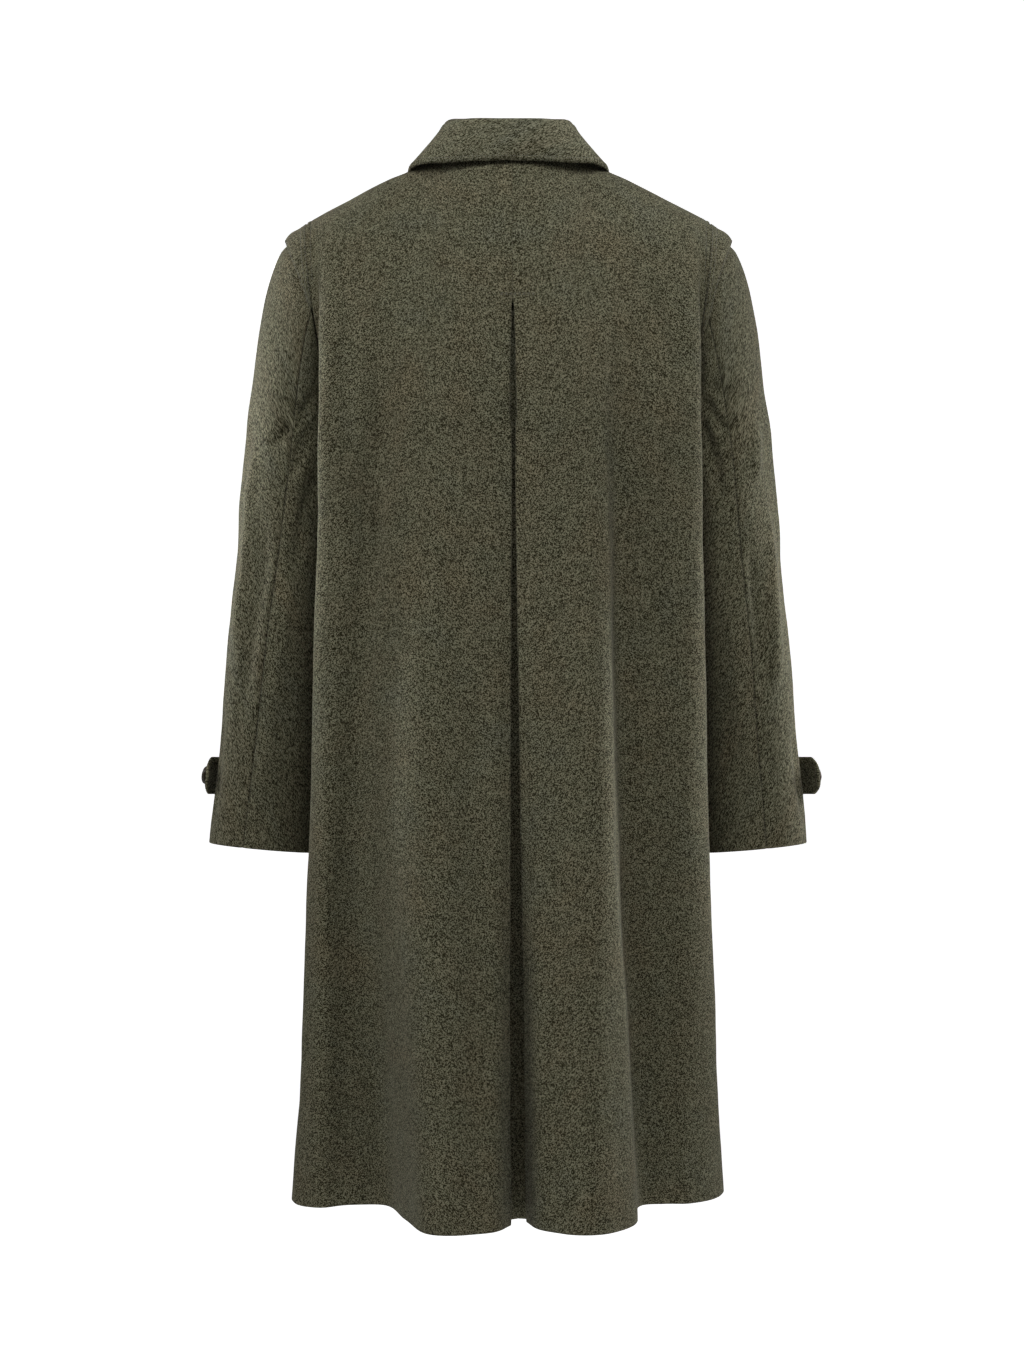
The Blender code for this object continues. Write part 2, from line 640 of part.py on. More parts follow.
def collar_section(angle, trees):
    """Points across the collar at one angle: up the stand, then over the fold and down the fall."""
    side = LEFT if angle < 0 else RIGHT
    size = abs(angle)
    stations = [row["angle"] for row in COLLAR_ROWS]
    at = keyed(tuple(zip(stations, range(len(stations)))), size)
    fold = between([Vector(row["fold"]) for row in COLLAR_ROWS], at)
    edge = between([Vector(row["edge"]) for row in COLLAR_ROWS], at)
    out = NECK_OUT * math.sin(math.radians(size))
    seam = neckline(out, size > 90)
    seam.z += COLLAR_RISE
    inward = Vector((-fold.x, COLLAR_MIDDLE_Y - fold.y, 0)).normalized()
    centre = fold - Vector((0, 0, COLLAR_ROLL))
    inner = centre + inward * COLLAR_ROLL
    stand = [seam.lerp(inner, share) for share in STAND_SHARES]
    roll = [centre + (inward * math.cos(math.radians(a)) + Vector((0, 0, 1)) * math.sin(math.radians(a)))
            * COLLAR_ROLL for a in (0, 60, 120, 180)]
    outer = roll[-1]
    fall = []
    for share in FALL_SHARES:
        most = FALL_BOW[0] + (FALL_BOW[1] - FALL_BOW[0]) * smooth(size / 80)
        bow = most * math.sin(math.pi * share)
        fall.append(outer.lerp(edge, share) + (Vector((0, 0, 1)) - inward * 0.6) * bow)
    stand = [placed(side, p) for p in stand]
    over = [placed(side, p) for p in roll]
    for point in [placed(side, p) for p in fall]:
        ridge = RIDGE_ROOM * (1 - smooth(abs(point.y) / RIDGE_REACH))
        over.append(clear_of(point, trees, LAID_ON + COLLAR_ROOM + ridge))
    return stand, over


def make_collar(trees):
    """The collar's stand and fall, from one front end round the neck to the other."""
    last = COLLAR[-1][0]
    angles = [-last + 2 * last * k / COLLAR_STEPS for k in range(COLLAR_STEPS + 1)]
    sections = [collar_section(angle, trees) for angle in angles]
    whole = [stand + over for stand, over in sections]
    last_up = len(STAND_SHARES) - 1
    ways = {}
    for i, line in enumerate(whole):
        for j, point in enumerate(line):
            inside = Vector((-point.x, COLLAR_MIDDLE_Y - point.y, 0))
            ways[i, j] = inside if j <= last_up else Vector()
    normals = facing(sheet_normals(whole), ways)
    for i, (stand, over) in enumerate(sections):
        step = (over[0] - stand[-1]).normalized() * SEAM
        middle = (stand[-1] + over[0]) / 2
        stand[-1] = middle - step
        over[0] = middle + step
        shared = (normals[i, last_up] + normals[i, last_up + 1]).normalized()
        normals[i, last_up] = normals[i, last_up + 1] = shared
    fall_normals = {(i, j - last_up - 1): normal for (i, j), normal in normals.items() if j > last_up}
    make_wall("collar_stand", [stand for stand, _ in sections], normals, colour=LODEN_DARK)
    make_wall("collar_fall", [over for _, over in sections], fall_normals)


def strap_point(side, degrees, height):
    """A point of the cuff strap, height above or below its middle."""
    share = (STRAP_Z + height - ARM[0]["z"]) / (ARM[-1]["z"] - ARM[0]["z"])
    ahead = arm_point(degrees, share)
    normal = (arm_point(degrees + 2, share) - arm_point(degrees - 2, share)).cross(Vector((0, 0, 1)))
    if normal.dot(ahead - Vector((ARM[-1]["out"], ARM[-1]["y"], ahead.z))) < 0:
        normal = -normal
    normal.normalize()
    loose = smooth((degrees - STRAP_TO_DEG + STRAP_LOOSE_DEG) / STRAP_LOOSE_DEG)
    lift = LAID_ON + STRAP_GAP + STRAP_LIFT[side] * loose**1.5
    return placed(side, ahead + normal * lift)


def make_strap(side):
    """The strap round a cuff, with its loose pointed end at the outside of the arm."""
    sheet = []
    for k in range(STRAP_STEPS + 1):
        degrees = STRAP_FROM_DEG + (STRAP_TO_DEG - STRAP_FROM_DEG) * k / STRAP_STEPS
        from_tip = (STRAP_TO_DEG - degrees) * STRAP_PER_DEGREE
        share = STRAP_TIP_SHARE + (1 - STRAP_TIP_SHARE) * from_tip / STRAP_POINT
        half = STRAP_HEIGHT / 2 * min(1, share)
        sheet.append([strap_point(side, degrees, half * across) for across in STRAP_ACROSS])
    normals = facing(sheet_normals(sheet), same_way(sheet, (side, 0, 0)))
    make_wall("cuff_strap_" + SIDE_NAMES[side], sheet, normals)


def make_button(name, place, normal, radius):
    """A turned button with a raised rim, lying on the cloth below it."""
    build = bmesh.new()
    normal = normal.normalized()
    side_way = normal.orthogonal().normalized()
    thickness = BUTTON_THICKNESS * (radius / BUTTON_RADIUS) ** 0.5
    line = [build.verts.new((place + side_way * radius * r + normal * thickness * h) * MM)
            for r, h in BUTTON_PROFILE]
    edges = [build.edges.new(pair) for pair in zip(line, line[1:])]
    bmesh.ops.spin(build, geom=line + edges, cent=place * MM, axis=normal, angle=2 * math.pi,
                   steps=BUTTON_STEPS, use_merge=True)
    bmesh.ops.remove_doubles(build, verts=build.verts, dist=1e-6)
    bmesh.ops.recalc_face_normals(build, faces=build.faces)
    add_object(name, build, HORN)


def make_buttons(front_tree):
    """Five buttons down the left front, and one on each cuff strap."""
    for number, z in enumerate(BUTTON_Z, 1):
        start = Vector((0, 400, z))
        place, normal, _, _ = front_tree.ray_cast(start, Vector((0, -1, 0)))
        if normal.y < 0:
            normal = -normal
        seat = place + normal * (CLOTH / 2 + BUTTON_SHANK)
        make_button(f"front_button_{number}", seat, normal, BUTTON_RADIUS)
    for side in (LEFT, RIGHT):
        at, reach = STRAP_BUTTON_DEG, 6
        around = strap_point(side, at + reach, 0) - strap_point(side, at - reach, 0)
        upwards = strap_point(side, at, reach) - strap_point(side, at, -reach)
        normal = around.cross(upwards)
        if normal.x * side < 0:
            normal = -normal
        normal.normalize()
        seat = strap_point(side, STRAP_BUTTON_DEG, 0) + normal * (CLOTH / 2 + CUFF_BUTTON_SHANK)
        make_button("cuff_button_" + SIDE_NAMES[side], seat, normal, CUFF_BUTTON_RADIUS)


BACK_ROWS = {side: rows_of(PLAN_COLUMNS, table) for side, table in BACK_PLAN.items()}
FRONT_ROWS = rows_of(PLAN_COLUMNS, FRONT_PLAN)
BACK_CLIMB_ROWS = rows_of(CLIMB_COLUMNS, BACK_CLIMB)
FRONT_CLIMB_ROWS = rows_of(CLIMB_COLUMNS, FRONT_CLIMB)
ARM = rows_of(ARM_COLUMNS, ARM_RINGS)
HEAD = rows_of(HEAD_COLUMNS, SLEEVE_HEAD)
COLLAR_ROWS = rows_of(COLLAR_COLUMNS, COLLAR)
FRONT_OF = {}
for each_side in (LEFT, RIGHT):
    rows = [dict(row) for row in FRONT_ROWS]
    side_row = BACK_ROWS[each_side][-1]
    rows[0].update({key: side_row[key] for key in ("hem_out", "hem_y", "hem_z")})
    FRONT_OF[each_side] = rows


def main():
    for old in list(bpy.data.objects):
        bpy.data.objects.remove(old)
    sheets, normals, trees = {}, {}, []
    left_front_tree = None
    for side in (LEFT, RIGHT):
        back, back_n, front, front_n = body_sheets(side)
        trees += [tree_of(back, back_n), tree_of(front, front_n)]
        if side == LEFT:
            left_front_tree = trees[-1]
        sheets[side], normals[side] = [list(line) for line in back], back_n
        make_back(side, back, back_n)
        make_front(side, front, front_n)
        make_sleeve(side)
        make_band(side)
        make_strap(side)
    make_underlay(sheets, normals)
    make_collar(trees)
    make_buttons(left_front_tree)


main()
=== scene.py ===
"""Looks of a long loden coat that hangs filled out with nobody in it, seen from behind.

Frame: metres, +Z up, +Y towards the coat's front, +X towards its right sleeve. The origin is the middle
of the neck at shoulder height. "out" is the distance from the middle plane, so x is -out on the left
side and +out on the right. Tables are in millimetres. Each cloth piece is a fine shell on the form of
its solid, with its creases, seams, stitching and wool.
"""

import math

import bmesh
import bpy
import numpy as np
from mathutils import Matrix, Vector, noise
from mathutils.bvhtree import BVHTree


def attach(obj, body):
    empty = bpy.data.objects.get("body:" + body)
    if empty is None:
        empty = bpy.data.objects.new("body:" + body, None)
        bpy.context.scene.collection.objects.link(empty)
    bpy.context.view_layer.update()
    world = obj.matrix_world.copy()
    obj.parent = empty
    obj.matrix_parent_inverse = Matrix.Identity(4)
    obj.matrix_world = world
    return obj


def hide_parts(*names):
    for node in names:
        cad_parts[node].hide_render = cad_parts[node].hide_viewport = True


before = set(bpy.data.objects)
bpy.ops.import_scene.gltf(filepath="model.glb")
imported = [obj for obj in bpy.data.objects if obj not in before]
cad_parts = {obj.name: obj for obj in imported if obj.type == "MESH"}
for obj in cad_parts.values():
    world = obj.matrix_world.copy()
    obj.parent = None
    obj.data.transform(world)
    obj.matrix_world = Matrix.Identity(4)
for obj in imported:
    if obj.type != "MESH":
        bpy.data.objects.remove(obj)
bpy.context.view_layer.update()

MM = 0.001
CLOTH = 2.6  # thickness of the fulled wool
SEAM = -0.08  # sewn edges press into each other this far
LAID_ON = CLOTH + 0.5  # between the middles of two layers that lie on each other

LEFT, RIGHT = -1, 1
SIDES = (LEFT, RIGHT)
SIDE_NAMES = {LEFT: "left", RIGHT: "right"}

CHEST_Z = -270
HIP_SHARE = 0.464  # where the hip section lies between chest and hem
PLEAT_AT = 0.592  # the back pleat opens at this share of the way from neck to chest
NECK_OUT, NECK_BACK, NECK_FRONT = 75, 58, 72
NECK_BACK_Z, NECK_SIDE_Z, NECK_FRONT_Z = 2, 13.8, -62
NECK_DIP = 1.3
SHOULDER_SLOPE = 0.541
COLLAR_PRESS = 3
PRESS_FROM, PRESS_TO = 102, 124
CENTRE_SEAM_X = 4.2
FOLD_RADIUS = 2.6  # of the pleat's rolled edge, at the middle of the cloth
TIGHT_FOLD, FOLD_OPENS = 1.5, 0.12  # its radius at the top, and the share of the way over which it opens
FOLD_TURNS = np.radians(np.arange(160, 10, -20))
PLEAT_TOP_GAP, PLEAT_CHEST_SHARE = 0.006, 2 / 15
CENTRE_SEAM_DEPTH = 0.5
RETURN_SPREAD = 7
OVERLAP = 32
TUCK, TUCK_FROM = 4.8, 2.4  # the right front lies this far in, from so many overlaps off the middle
UNDERLAY_GAP = 0.5
UNDERLAY_SPREAD = (1, 9)
UNDERLAY_MIDDLE = ((0, 11), (0.25, 13), (0.6, 24), (1, 36))
UNDERLAY_COLUMNS = 41
HEM_EASE = 0.8

# Plan at three heights, from the pleat's edge or the side seam on, with the hem's height.
# Columns: name, chest out and y, hip out and y, hem out, y and z.
BACK_PLAN = {
    LEFT: (
        ("flap_edge", -0.1, -129, 0.2, -145, -1.2, -134, -1070),
        ("inner_roll", 24, -132, 18, -156, 15, -169, -1071.5),
        ("crest", 66, -131, 66, -160, 50, -181, -1072.5),
        ("outer_roll", 98, -125, 97, -149, 82, -168, -1072),
        ("flank", 113, -117, 117, -128, 103, -106, -1068),
        ("valley", 129, -112, 139, -106, 122, -44, -1063),
        ("plateau", 152, -114, 162, -101, 158, -36, -1063),
        ("corner", 176, -113, 184, -96, 196, -38, -1065),
        ("edge", 190, -97, 199, -74, 214, -22, -1065.5),
        ("side_back", 168, -48, 187, -36, 222, -4, -1063),
        ("side", 161, 4, 183, 12, 222, 18, -1063),
    ),
    RIGHT: (
        ("flap_edge", 10, -129, 14, -147, 19, -126, -1068),
        ("inner_roll", 30, -133, 32, -160, 33, -166, -1070),
        ("crest", 66, -133, 68, -163, 64, -181, -1072.2),
        ("outer_roll", 92, -128, 98, -154, 102, -165, -1072),
        ("flank", 105, -119, 115, -134, 129, -124, -1069),
        ("valley", 122, -110, 121, -110, 134, -56, -1064),
        ("plateau", 152, -109, 156, -100, 160, -28, -1063),
        ("corner", 178, -108, 187, -95, 198, -10, -1063.5),
        ("edge", 193, -92, 201, -72, 216, 14, -1062.5),
        ("side_back", 168, -47, 187, -34, 223, 34, -1060),
        ("side", 161, 4, 183, 12, 222, 54, -1060),
    ),
}
# From each key of the plan up to the shoulder: out at the top edge, the slope there in y and z, and the slope
# at the chest in out, y and z.
BACK_CLIMB = (
    (0, -95, -120, 0, 0, -230),
    (22, -95, -118, 0, 0, -230),
    (56, -105, -105, 0, 0, -240),
    (90, -160, -40, 0, 0, -270),
    (112, -185, -22, 0, 0, -290),
    (132, -195, -15, 0, 0, -300),
    (154, -205, -15, 0, 0, -300),
    (174, -225, -20, 0, 0, -300),
    (188, -250, -30, 0, 0, -290),
    (198, -290, -50, -70, 110, -220),
    (207, -300, -30, -110, 300, -110),
)
FRONT_PLAN = (
    ("side", 161, 4, 183, 12, 222, 0, -1060),
    ("side_front", 166, 50, 185, 58, 217, 92, -1062),
    ("front_corner", 160, 92, 170, 112, 186, 140, -1066),
    ("front_outer", 121, 117, 128, 134, 130, 151, -1068),
    ("front_inner", 66, 127, 68, 148, 70, 174, -1069),
    ("middle", 0, 130, 0, 149, 0, 172, -1069),
    ("overlap", -OVERLAP, 129.5, -OVERLAP, 148.5, -OVERLAP, 173.2, -1069),
)
FRONT_CLIMB = (
    (207, 290, -35, -100, -290, -110),
    (196, 262, -50, -50, -100, -220),
    (172, 205, -20, 0, 0, -290),
    (128, 175, -25, 0, 0, -280),
    (60, 75, -95, 0, 0, -240),
    (0, 60, -95, 0, 0, -220),
    (-OVERLAP, 60, -95, 0, 0, -220),
)
BACK_STEPS = (8, 11, 9, 6, 6, 7, 7, 7, 12, 11)  # columns of points from each key to the next
FRONT_STEPS = (11, 11, 11, 13, 14, 8)
YOKE_STEPS, SKIRT_STEPS = 60, 130

# Rings of the sleeve from the bicep to the cuff: out, z, half width, half depth and y.
ARM_RINGS = (
    (219, -302, 49, 67, -2),
    (227.5, -400, 49.5, 64, -6),
    (237.5, -500, 50.5, 58, -6),
    (246.5, -605, 51.5, 50, 8),
    (255.5, -701, 52.5, 44, 20),
)
ARM_LEAN = math.radians(5.5)
# The sleeve head at the shoulder, back, underarm and front: start off the seam, and slopes at its ends.
HEAD_START = ((2, 0, -7), (1.2, 1.6, -0.6), (1.6, 0, 0.6), (1.2, -1.6, -0.6))
HEAD_LEAVE = ((138, 0, -56), (34, -22, -115), (2, 0, -26), (34, 18, -115))
HEAD_ARRIVE = ((28, 0, -290), (14, 4, -150), (3, 0, -33), (14, -4, -150))
FRONT_SEAM_DEG = 220
BACK_SEAM = {LEFT: (90, 88, 71), RIGHT: (90, 80, 80)}  # its angle at head, bicep and cuff
HEAD_STEPS, ARM_STEPS = 44, 84
SLEEVE_STEPS = {"sleeve_top": 74, "sleeve_under": 44}

BAND_WIDTH = {
    LEFT: ((0, 29), (35, 25), (60, 18), (78, 10), (88, 4)),
    RIGHT: ((0, 29), (35, 25), (60, 20), (85, 17), (98, 9), (108, 4)),
}
BAND_GAP = 0.3
BAND_PUFF = ((0, 0.2), (0.18, 1.2), (0.4, 2.4), (0.6, 3.1), (0.78, 3.0), (0.9, 2.4), (1, 1.5))
HEAD_PRESS = 1.8  # the band presses the sleeve head in this far
HEAD_FADE, PRESS_FADE, PRESS_END_DEG = 0.35, 0.06, 20
BAND_END_DEG, BAND_END_FADE, BAND_RISE, PUFF_PASSES = 85, 70, 0.3, 2
BAND_SLOPE_STEP, BAND_SLOPE_DEG = 0.02, 3
BAND_STEPS, BAND_COLUMNS = 110, 14
BAND_STITCHES, BAND_STITCH_ENDS = (("last", 2.2), ("first", 1.6), ("first", 7.0)), 3

COLLAR_ANGLE = (0, 35, 80, 125, 155, 176)
COLLAR_FOLD = ((0, -62, 41), (41, -54, 41.5), (63, -12, 42.6), (51, 43, 14), (25, 68, -18), (6, 75, -33))
COLLAR_EDGE = ((0, -69, -1.2), (59, -59, -2), (101, -16, -1), (98, 52, -28), (70, 98, -82), (47, 112, -114))
COLLAR_MIDDLE_Y, COLLAR_RISE = 4, 2
COLLAR_ROLL = 3.2
STAND_TOP = 0.93  # the stand ends at this share of the way up to the fold
FALL_BOW, FALL_BOW_DEG, FALL_BOW_IN = (3.5, -0.3), 80, 0.6
OVER_FROM = 0.94  # the fall starts a little above the stand
CLEAR_PASSES, SHIFT_PASSES = 3, (30, 3)
COLLAR_ROOM, RIDGE_ROOM, RIDGE_REACH = 0.3, 1.4, 24
COLLAR_NEAR_Z = -260
COLLAR_STEPS, STAND_STEPS, ROLL_STEPS, FALL_STEPS = 190, 12, 9, 26

STRAP_HEIGHT, STRAP_Z = 40, -628
STRAP_FROM_DEG, STRAP_TO_DEG = -104, 14
STRAP_POINT, STRAP_TIP_SHARE = 17, 0.34
STRAP_PER_DEGREE, STRAP_LOOSE_DEG, STRAP_GAP = 0.9, 62, 0.2
STRAP_LIFT = {LEFT: 8, RIGHT: 17}
STRAP_CURL, STRAP_SLOPE_DEG = 1.5, 2
STRAP_BUTTON_DEG = -7
STRAP_STEPS, STRAP_COLUMNS = 84, 24

BUTTON_Z = (-92, -222, -352, -482, -612)
BUTTON_RADIUS, CUFF_BUTTON_RADIUS = 13, 9.5
BUTTON_THICKNESS = 5.2
BUTTON_SHANK, CUFF_BUTTON_SHANK = 0.4, 0.8
HOLE_REACH, CUFF_HOLE_REACH, HOLE_HALF, CUFF_HOLE_HALF = 26, 17, 1.1, 0.99
HOLE_FROM, HOLE_POINTS, HOLE_SQUARE, HOLE_RISE = -3, 49, 1.08, 0.1
HOLE_PITCH, HOLE_SHARE, HOLE_THICK = 1.3, 1.1, 0.55
STITCH_PITCH, STITCH_SHARE, STITCH_THICK = 4.2, 0.74, 0.42
STITCH_RISE, STITCH_FLAT = 0.15, 0.8
# Half section of a button as shares of its radius and thickness, then sizes as shares of its radius.
BUTTON_PROFILE = (
    (0, 0.52), (0.3, 0.53), (0.52, 0.6), (0.66, 0.74), (0.76, 0.93), (0.84, 1), (0.92, 0.95),
    (0.975, 0.8), (1, 0.56), (0.985, 0.34), (0.93, 0.16), (0.84, 0.04), (0.72, 0), (0, 0),
)
EYE_SPREAD, EYE_RADIUS, STRAND_APART, STRAND_RADIUS, STRAND_RISE = 0.2, 0.095, 0.075, 0.05, 0.56
EYE_DEPTH, STRAND_LENGTH, BUTTON_SHARP_DEG = 1.5, 1.35, 50
BUTTON_STEPS, STRAP_BUTTON_STEP, STRAP_HOLE_STEP = 48, 6, 2

# How the cloth drops towards an edge: (distance from the edge, drop).
SEAMED = ((0, 1.7), (0.25, 1.55), (0.7, 1.2), (1.3, 0.85), (2.2, 0.4), (3.4, 0.1), (4.6, 0))
HEMMED = ((0, 0), (0.2, 0), (0.65, 0), (1.3, 0), (2.6, 0))
STITCHED = ((0, 0), (0.2, 0), (0.65, 0), (1.3, 0), (2.6, -0.35),
            (4.1, -0.1), (4.8, 0.4), (5.5, 0.75), (6.3, 0.5), (8, 0))
STITCH_IN = 5.5  # from a stitched edge to its stitching
WELT = ((0, 1.1), (0.25, 0.9), (0.7, 0.55), (1.3, 0.2), (2.4, -0.1),
        (4.2, -0.1), (4.8, 0), (5.5, 0), (6.2, 0), (7.5, 0))
JOINED = ((0, 1.1), (0.25, 0.95), (0.7, 0.6), (1.3, 0.3), (2.4, 0.05))
ROLLED = ((0, 2.4), (0.2, 2.2), (0.65, 1.75), (1.3, 1.2), (2.6, 0.4),
          (4, -0.05), (4.8, 0.35), (5.5, 0.7), (6.3, 0.4), (8, 0))
STITCH_GROOVE = (0.55, 0.8)  # depth and width
THINNEST = 0.12  # share of the half thickness that a rolled edge keeps

# Soft troughs and ridges: a path of (out, z), or of (degrees, z) on a sleeve, its width and its height.
BACK_CREASES = {
    LEFT: (
        (((106, -100), (122, -220), (136, -328), (153, -547), (166, -760), (150, -980)), 14, -3.0),
        (((160, -118), (163, -200), (158, -330)), 7, -1.6),
        (((69, -70), (70, -130), (64, -230)), 9, -1.2),
        (((78, -260), (84, -480), (72, -760), (56, -1250)), 22, 2.2),
        (((30, -420), (33, -640), (30, -900), (38, -1200)), 13, -1.5),
        (((188, -230), (176, -260), (150, -330), (128, -420)), 10, -2.0),
        (((176, -520), (182, -700), (186, -900), (190, -1200)), 12, 1.6),
    ),
    RIGHT: (
        (((89, -95), (104, -190), (112, -330), (114, -520), (116, -700), (131, -850), (141, -1045),
          (144, -1250)), 11, -3.2),
        (((151, -125), (166, -175), (180, -235)), 8, -2.2),
        (((74, -220), (84, -400), (88, -640), (84, -860), (88, -1250)), 19, 2.4),
        (((44, -500), (50, -700), (46, -960), (52, -1250)), 14, -1.4),
        (((190, -236), (170, -290), (148, -380), (140, -520)), 11, -2.2),
        (((168, -480), (170, -680), (176, -900), (180, -1200)), 14, 1.8),
        (((60, -60), (64, -120), (62, -190)), 9, -1.0),
    ),
}
FRONT_CREASES = {
    LEFT: (
        (((96, -150), (108, -320), (118, -540), (122, -760), (116, -1200)), 15, -3.0),
        (((168, -210), (150, -270), (128, -350)), 10, -2.4),
        (((70, -330), (76, -560), (70, -820), (74, -1200)), 20, 2.2),
        (((152, -420), (158, -640), (166, -900), (170, -1200)), 15, 2.2),
        (((36, -560), (40, -760), (36, -980)), 12, -1.4),
        (((20, -232), (44, -250), (70, -262)), 9, -1.1),
    ),
    RIGHT: (
        (((104, -160), (112, -330), (124, -560), (130, -800), (128, -1200)), 14, -2.8),
        (((170, -220), (148, -290), (132, -380)), 11, -2.2),
        (((80, -300), (84, -540), (78, -860), (80, -1200)), 19, 2.2),
        (((156, -460), (160, -660), (168, -880), (172, -1200)), 16, 2.0),
        (((40, -360), (58, -372), (84, -396)), 9, -1.0),
    ),
}
SLEEVE_CREASES = {
    LEFT: (
        (((122, -232), (106, -250), (86, -272), (56, -296)), 7, -2.6),
        (((118, -262), (100, -292), (84, -330)), 8, -2.0),
        (((128, -300), (112, -352), (102, -430)), 9, -1.8),
        (((40, -262), (36, -330), (40, -400), (38, -470), (42, -520)), 8, 1.7),
        (((62, -340), (66, -420), (60, -500), (56, -590)), 10, -1.5),
        (((95, -380), (98, -470), (92, -560), (84, -680)), 9, 1.3),
        (((-118, -470), (-92, -486), (-62, -482)), 8, -2.6),
        (((-124, -512), (-96, -520), (-66, -534)), 8, -2.4),
        (((-60, -240), (-80, -270), (-108, -300)), 9, -2.4),
        (((8, -210), (10, -300), (4, -400)), 12, 1.2),
        (((18, -540), (14, -600), (20, -690)), 10, -1.2),
        (((-30, -360), (-36, -470), (-30, -600)), 12, 1.4),
    ),
    RIGHT: (
        (((118, -236), (98, -262), (72, -284)), 7, -2.4),
        (((122, -250), (104, -300), (96, -360)), 8, -2.2),
        (((110, -225), (88, -238), (64, -240)), 7, -1.8),
        (((44, -262), (50, -300), (56, -330)), 8, 1.7),
        (((36, -340), (40, -430), (46, -490), (48, -540)), 8, 1.7),
        (((66, -380), (70, -470), (66, -560)), 10, -1.5),
        (((100, -420), (96, -520), (98, -640)), 9, 1.2),
        (((-116, -462), (-88, -474), (-60, -468)), 8, -2.6),
        (((-126, -500), (-98, -514), (-68, -522)), 8, -2.2),
        (((-58, -236), (-82, -262), (-106, -290)), 9, -2.2),
        (((12, -220), (8, -320), (12, -420)), 12, 1.2),
        (((20, -560), (24, -620), (16, -690)), 10, -1.3),
        (((-34, -380), (-30, -500), (-36, -620)), 12, 1.4),
    ),
}

BODY_GAIN, SLEEVE_GAIN = 3.3, 3.0
CREASE_FADE = 0.3  # share of a crease's length over which it comes and goes
WAVES = ((1.3, 85, (0, 0, 0)), (0.5, 31, (7, 3, 5)))  # height, length and shift
UNDERLAY_WAVES, BAND_WAVES, COLLAR_WAVES = 0.4, 0.5, 0.35
CUT_SHIFT = (37, -23)  # each piece is cut from another place of the cloth, so far on for each step of its name
RELAX_PASSES, RELAX_Z, RELAX_SHARE = 60, (-170, -90), 0.5
WEAVE_PASSES = 40
SHOULDER_FADE_Z, WELT_Z, ARMHOLE_STITCH_Z = (-40, -100), (-150, -110), (-128, -42)
BACK_SEAM_FADE, FRONT_SEAM_FADE, SLEEVE_SEAM_FADE = (8, 25), (25, 60), (6, 6)
TACK_Z = (-141, -142.4)  # the bar tack that closes the top of the pleat
TACK_FROM, TACK_TO, TACK_POINTS = -8.8, 27, 30
OUTSIDE_Y = 400  # rays towards the cloth start here

# Wool: hairs as degrees, width and length across the noise, and a seed; the rest in metres.
HAIRS = (
    (38, 0.7 * MM, 1.7 * MM, 0.7),
    (-47, 0.7 * MM, 1.7 * MM, 2.9),
)
TUFT, PATCH, DYE = 0.85 * MM, 14 * MM, 60 * MM
HAIR_SHARE, TUFT_SHARE, PATCH_SHARE = 8.6, 3.0, 0.22
WOOL_STOPS = (
    (0.0, (0.015, 0.0142, 0.0062)),
    (0.3, (0.0385, 0.0362, 0.0212)),
    (0.5, (0.0540, 0.0524, 0.0335)),
    (0.7, (0.0780, 0.0762, 0.0510)),
    (0.9, (0.1300, 0.1280, 0.0920)),
    (1.0, (0.2000, 0.1980, 0.1500)),
)
DYE_STOPS = (
    (0.3, (1.05, 0.99, 0.92)),
    (0.45, (1.01, 1.0, 0.96)),
    (0.55, (0.99, 1.005, 0.96)),
    (0.7, (0.965, 1.0, 1.01)),
)
COAT_SHADE = ("loden wool", 1.0, (1.04, 1, 0.9))
# The collar's wool is the coat's wool painted 1.25 times lighter: a painted highlight standing in for the
# light that falls on the collar from above.
COLLAR_WOOL_PAINTED_LIGHTER = ("collar wool", 1.25, (1.03, 1, 0.93))
WOOL_BUMP, WOOL_BUMP_HEIGHT, WOOL_SHEEN = 0.3, 0.3 * MM, 0.07
SLUB = (0.9 * MM, 5 * MM)
HORN_STREAK, HORN_FINE = (24, 2.2 * MM, 16 * MM, 1.3), (24, 0.4 * MM, 5 * MM, 2.7)
HORN_BUMP, HORN_BUMP_HEIGHT = 0.15, 0.2 * MM
THREAD_STOPS = ((0.3, (0.05, 0.047, 0.028)), (0.7, (0.1, 0.095, 0.065)))
HORN_STOPS = ((0.35, (0.018, 0.012, 0.007)), (0.5, (0.045, 0.032, 0.02)), (0.65, (0.11, 0.08, 0.05)))

STAGE_Z, STAGE_RADIUS, STAGE_CURVE, STAGE_TOP_Z = -1.49, 6, 1.8, 5
STAGE_STEPS, CURVE_STEPS = 64, 24
STAGE_GLOW, STAGE_SEEN, FLOOR_BELOW = 0.05, 0.9, -1.4
WORLD_LIGHT = 0.03
# Name, place, aim, size, spread in degrees and power.
LIGHTS = (
    ("high front", (0, -1.9, 1.9), (0, 0, -0.1), (2.4, 1.0), 180, 41),
    ("left side", (-2.7, -1.0, 1.5), (0, 0, -0.3), (1.0, 1.2), 180, 36),
    ("right front", (2.1, -2.0, 1.3), (0, 0, -0.4), (1.2, 1.6), 180, 15),
    ("right side", (2.3, 0.5, 1.2), (0, 0, -0.2), (0.8, 1.0), 180, 39),
    ("left rim", (-1.7, 0.6, 0.1), (-0.28, 0, -0.3), (0.4, 0.3), 26, 1.0),
    ("right rim", (1.7, 0.6, -0.1), (0.28, 0, -0.5), (0.4, 0.3), 26, 0.6),
)
CAMERA_PLACE = (0.0036, -3.8, -0.530)
CAMERA_SENSOR, CAMERA_VIEW = 36, 1.406  # the second is the width in view at the coat
CAMERA_LENS = CAMERA_SENSOR * 3.8 / CAMERA_VIEW


def smooth(share):
    share = np.clip(share, 0, 1)
    return share * share * (3 - 2 * share)


def eased(values, start, end):
    """A smooth change, from 0 at the start to 1 at the end."""
    return smooth((values - start) / (end - start))


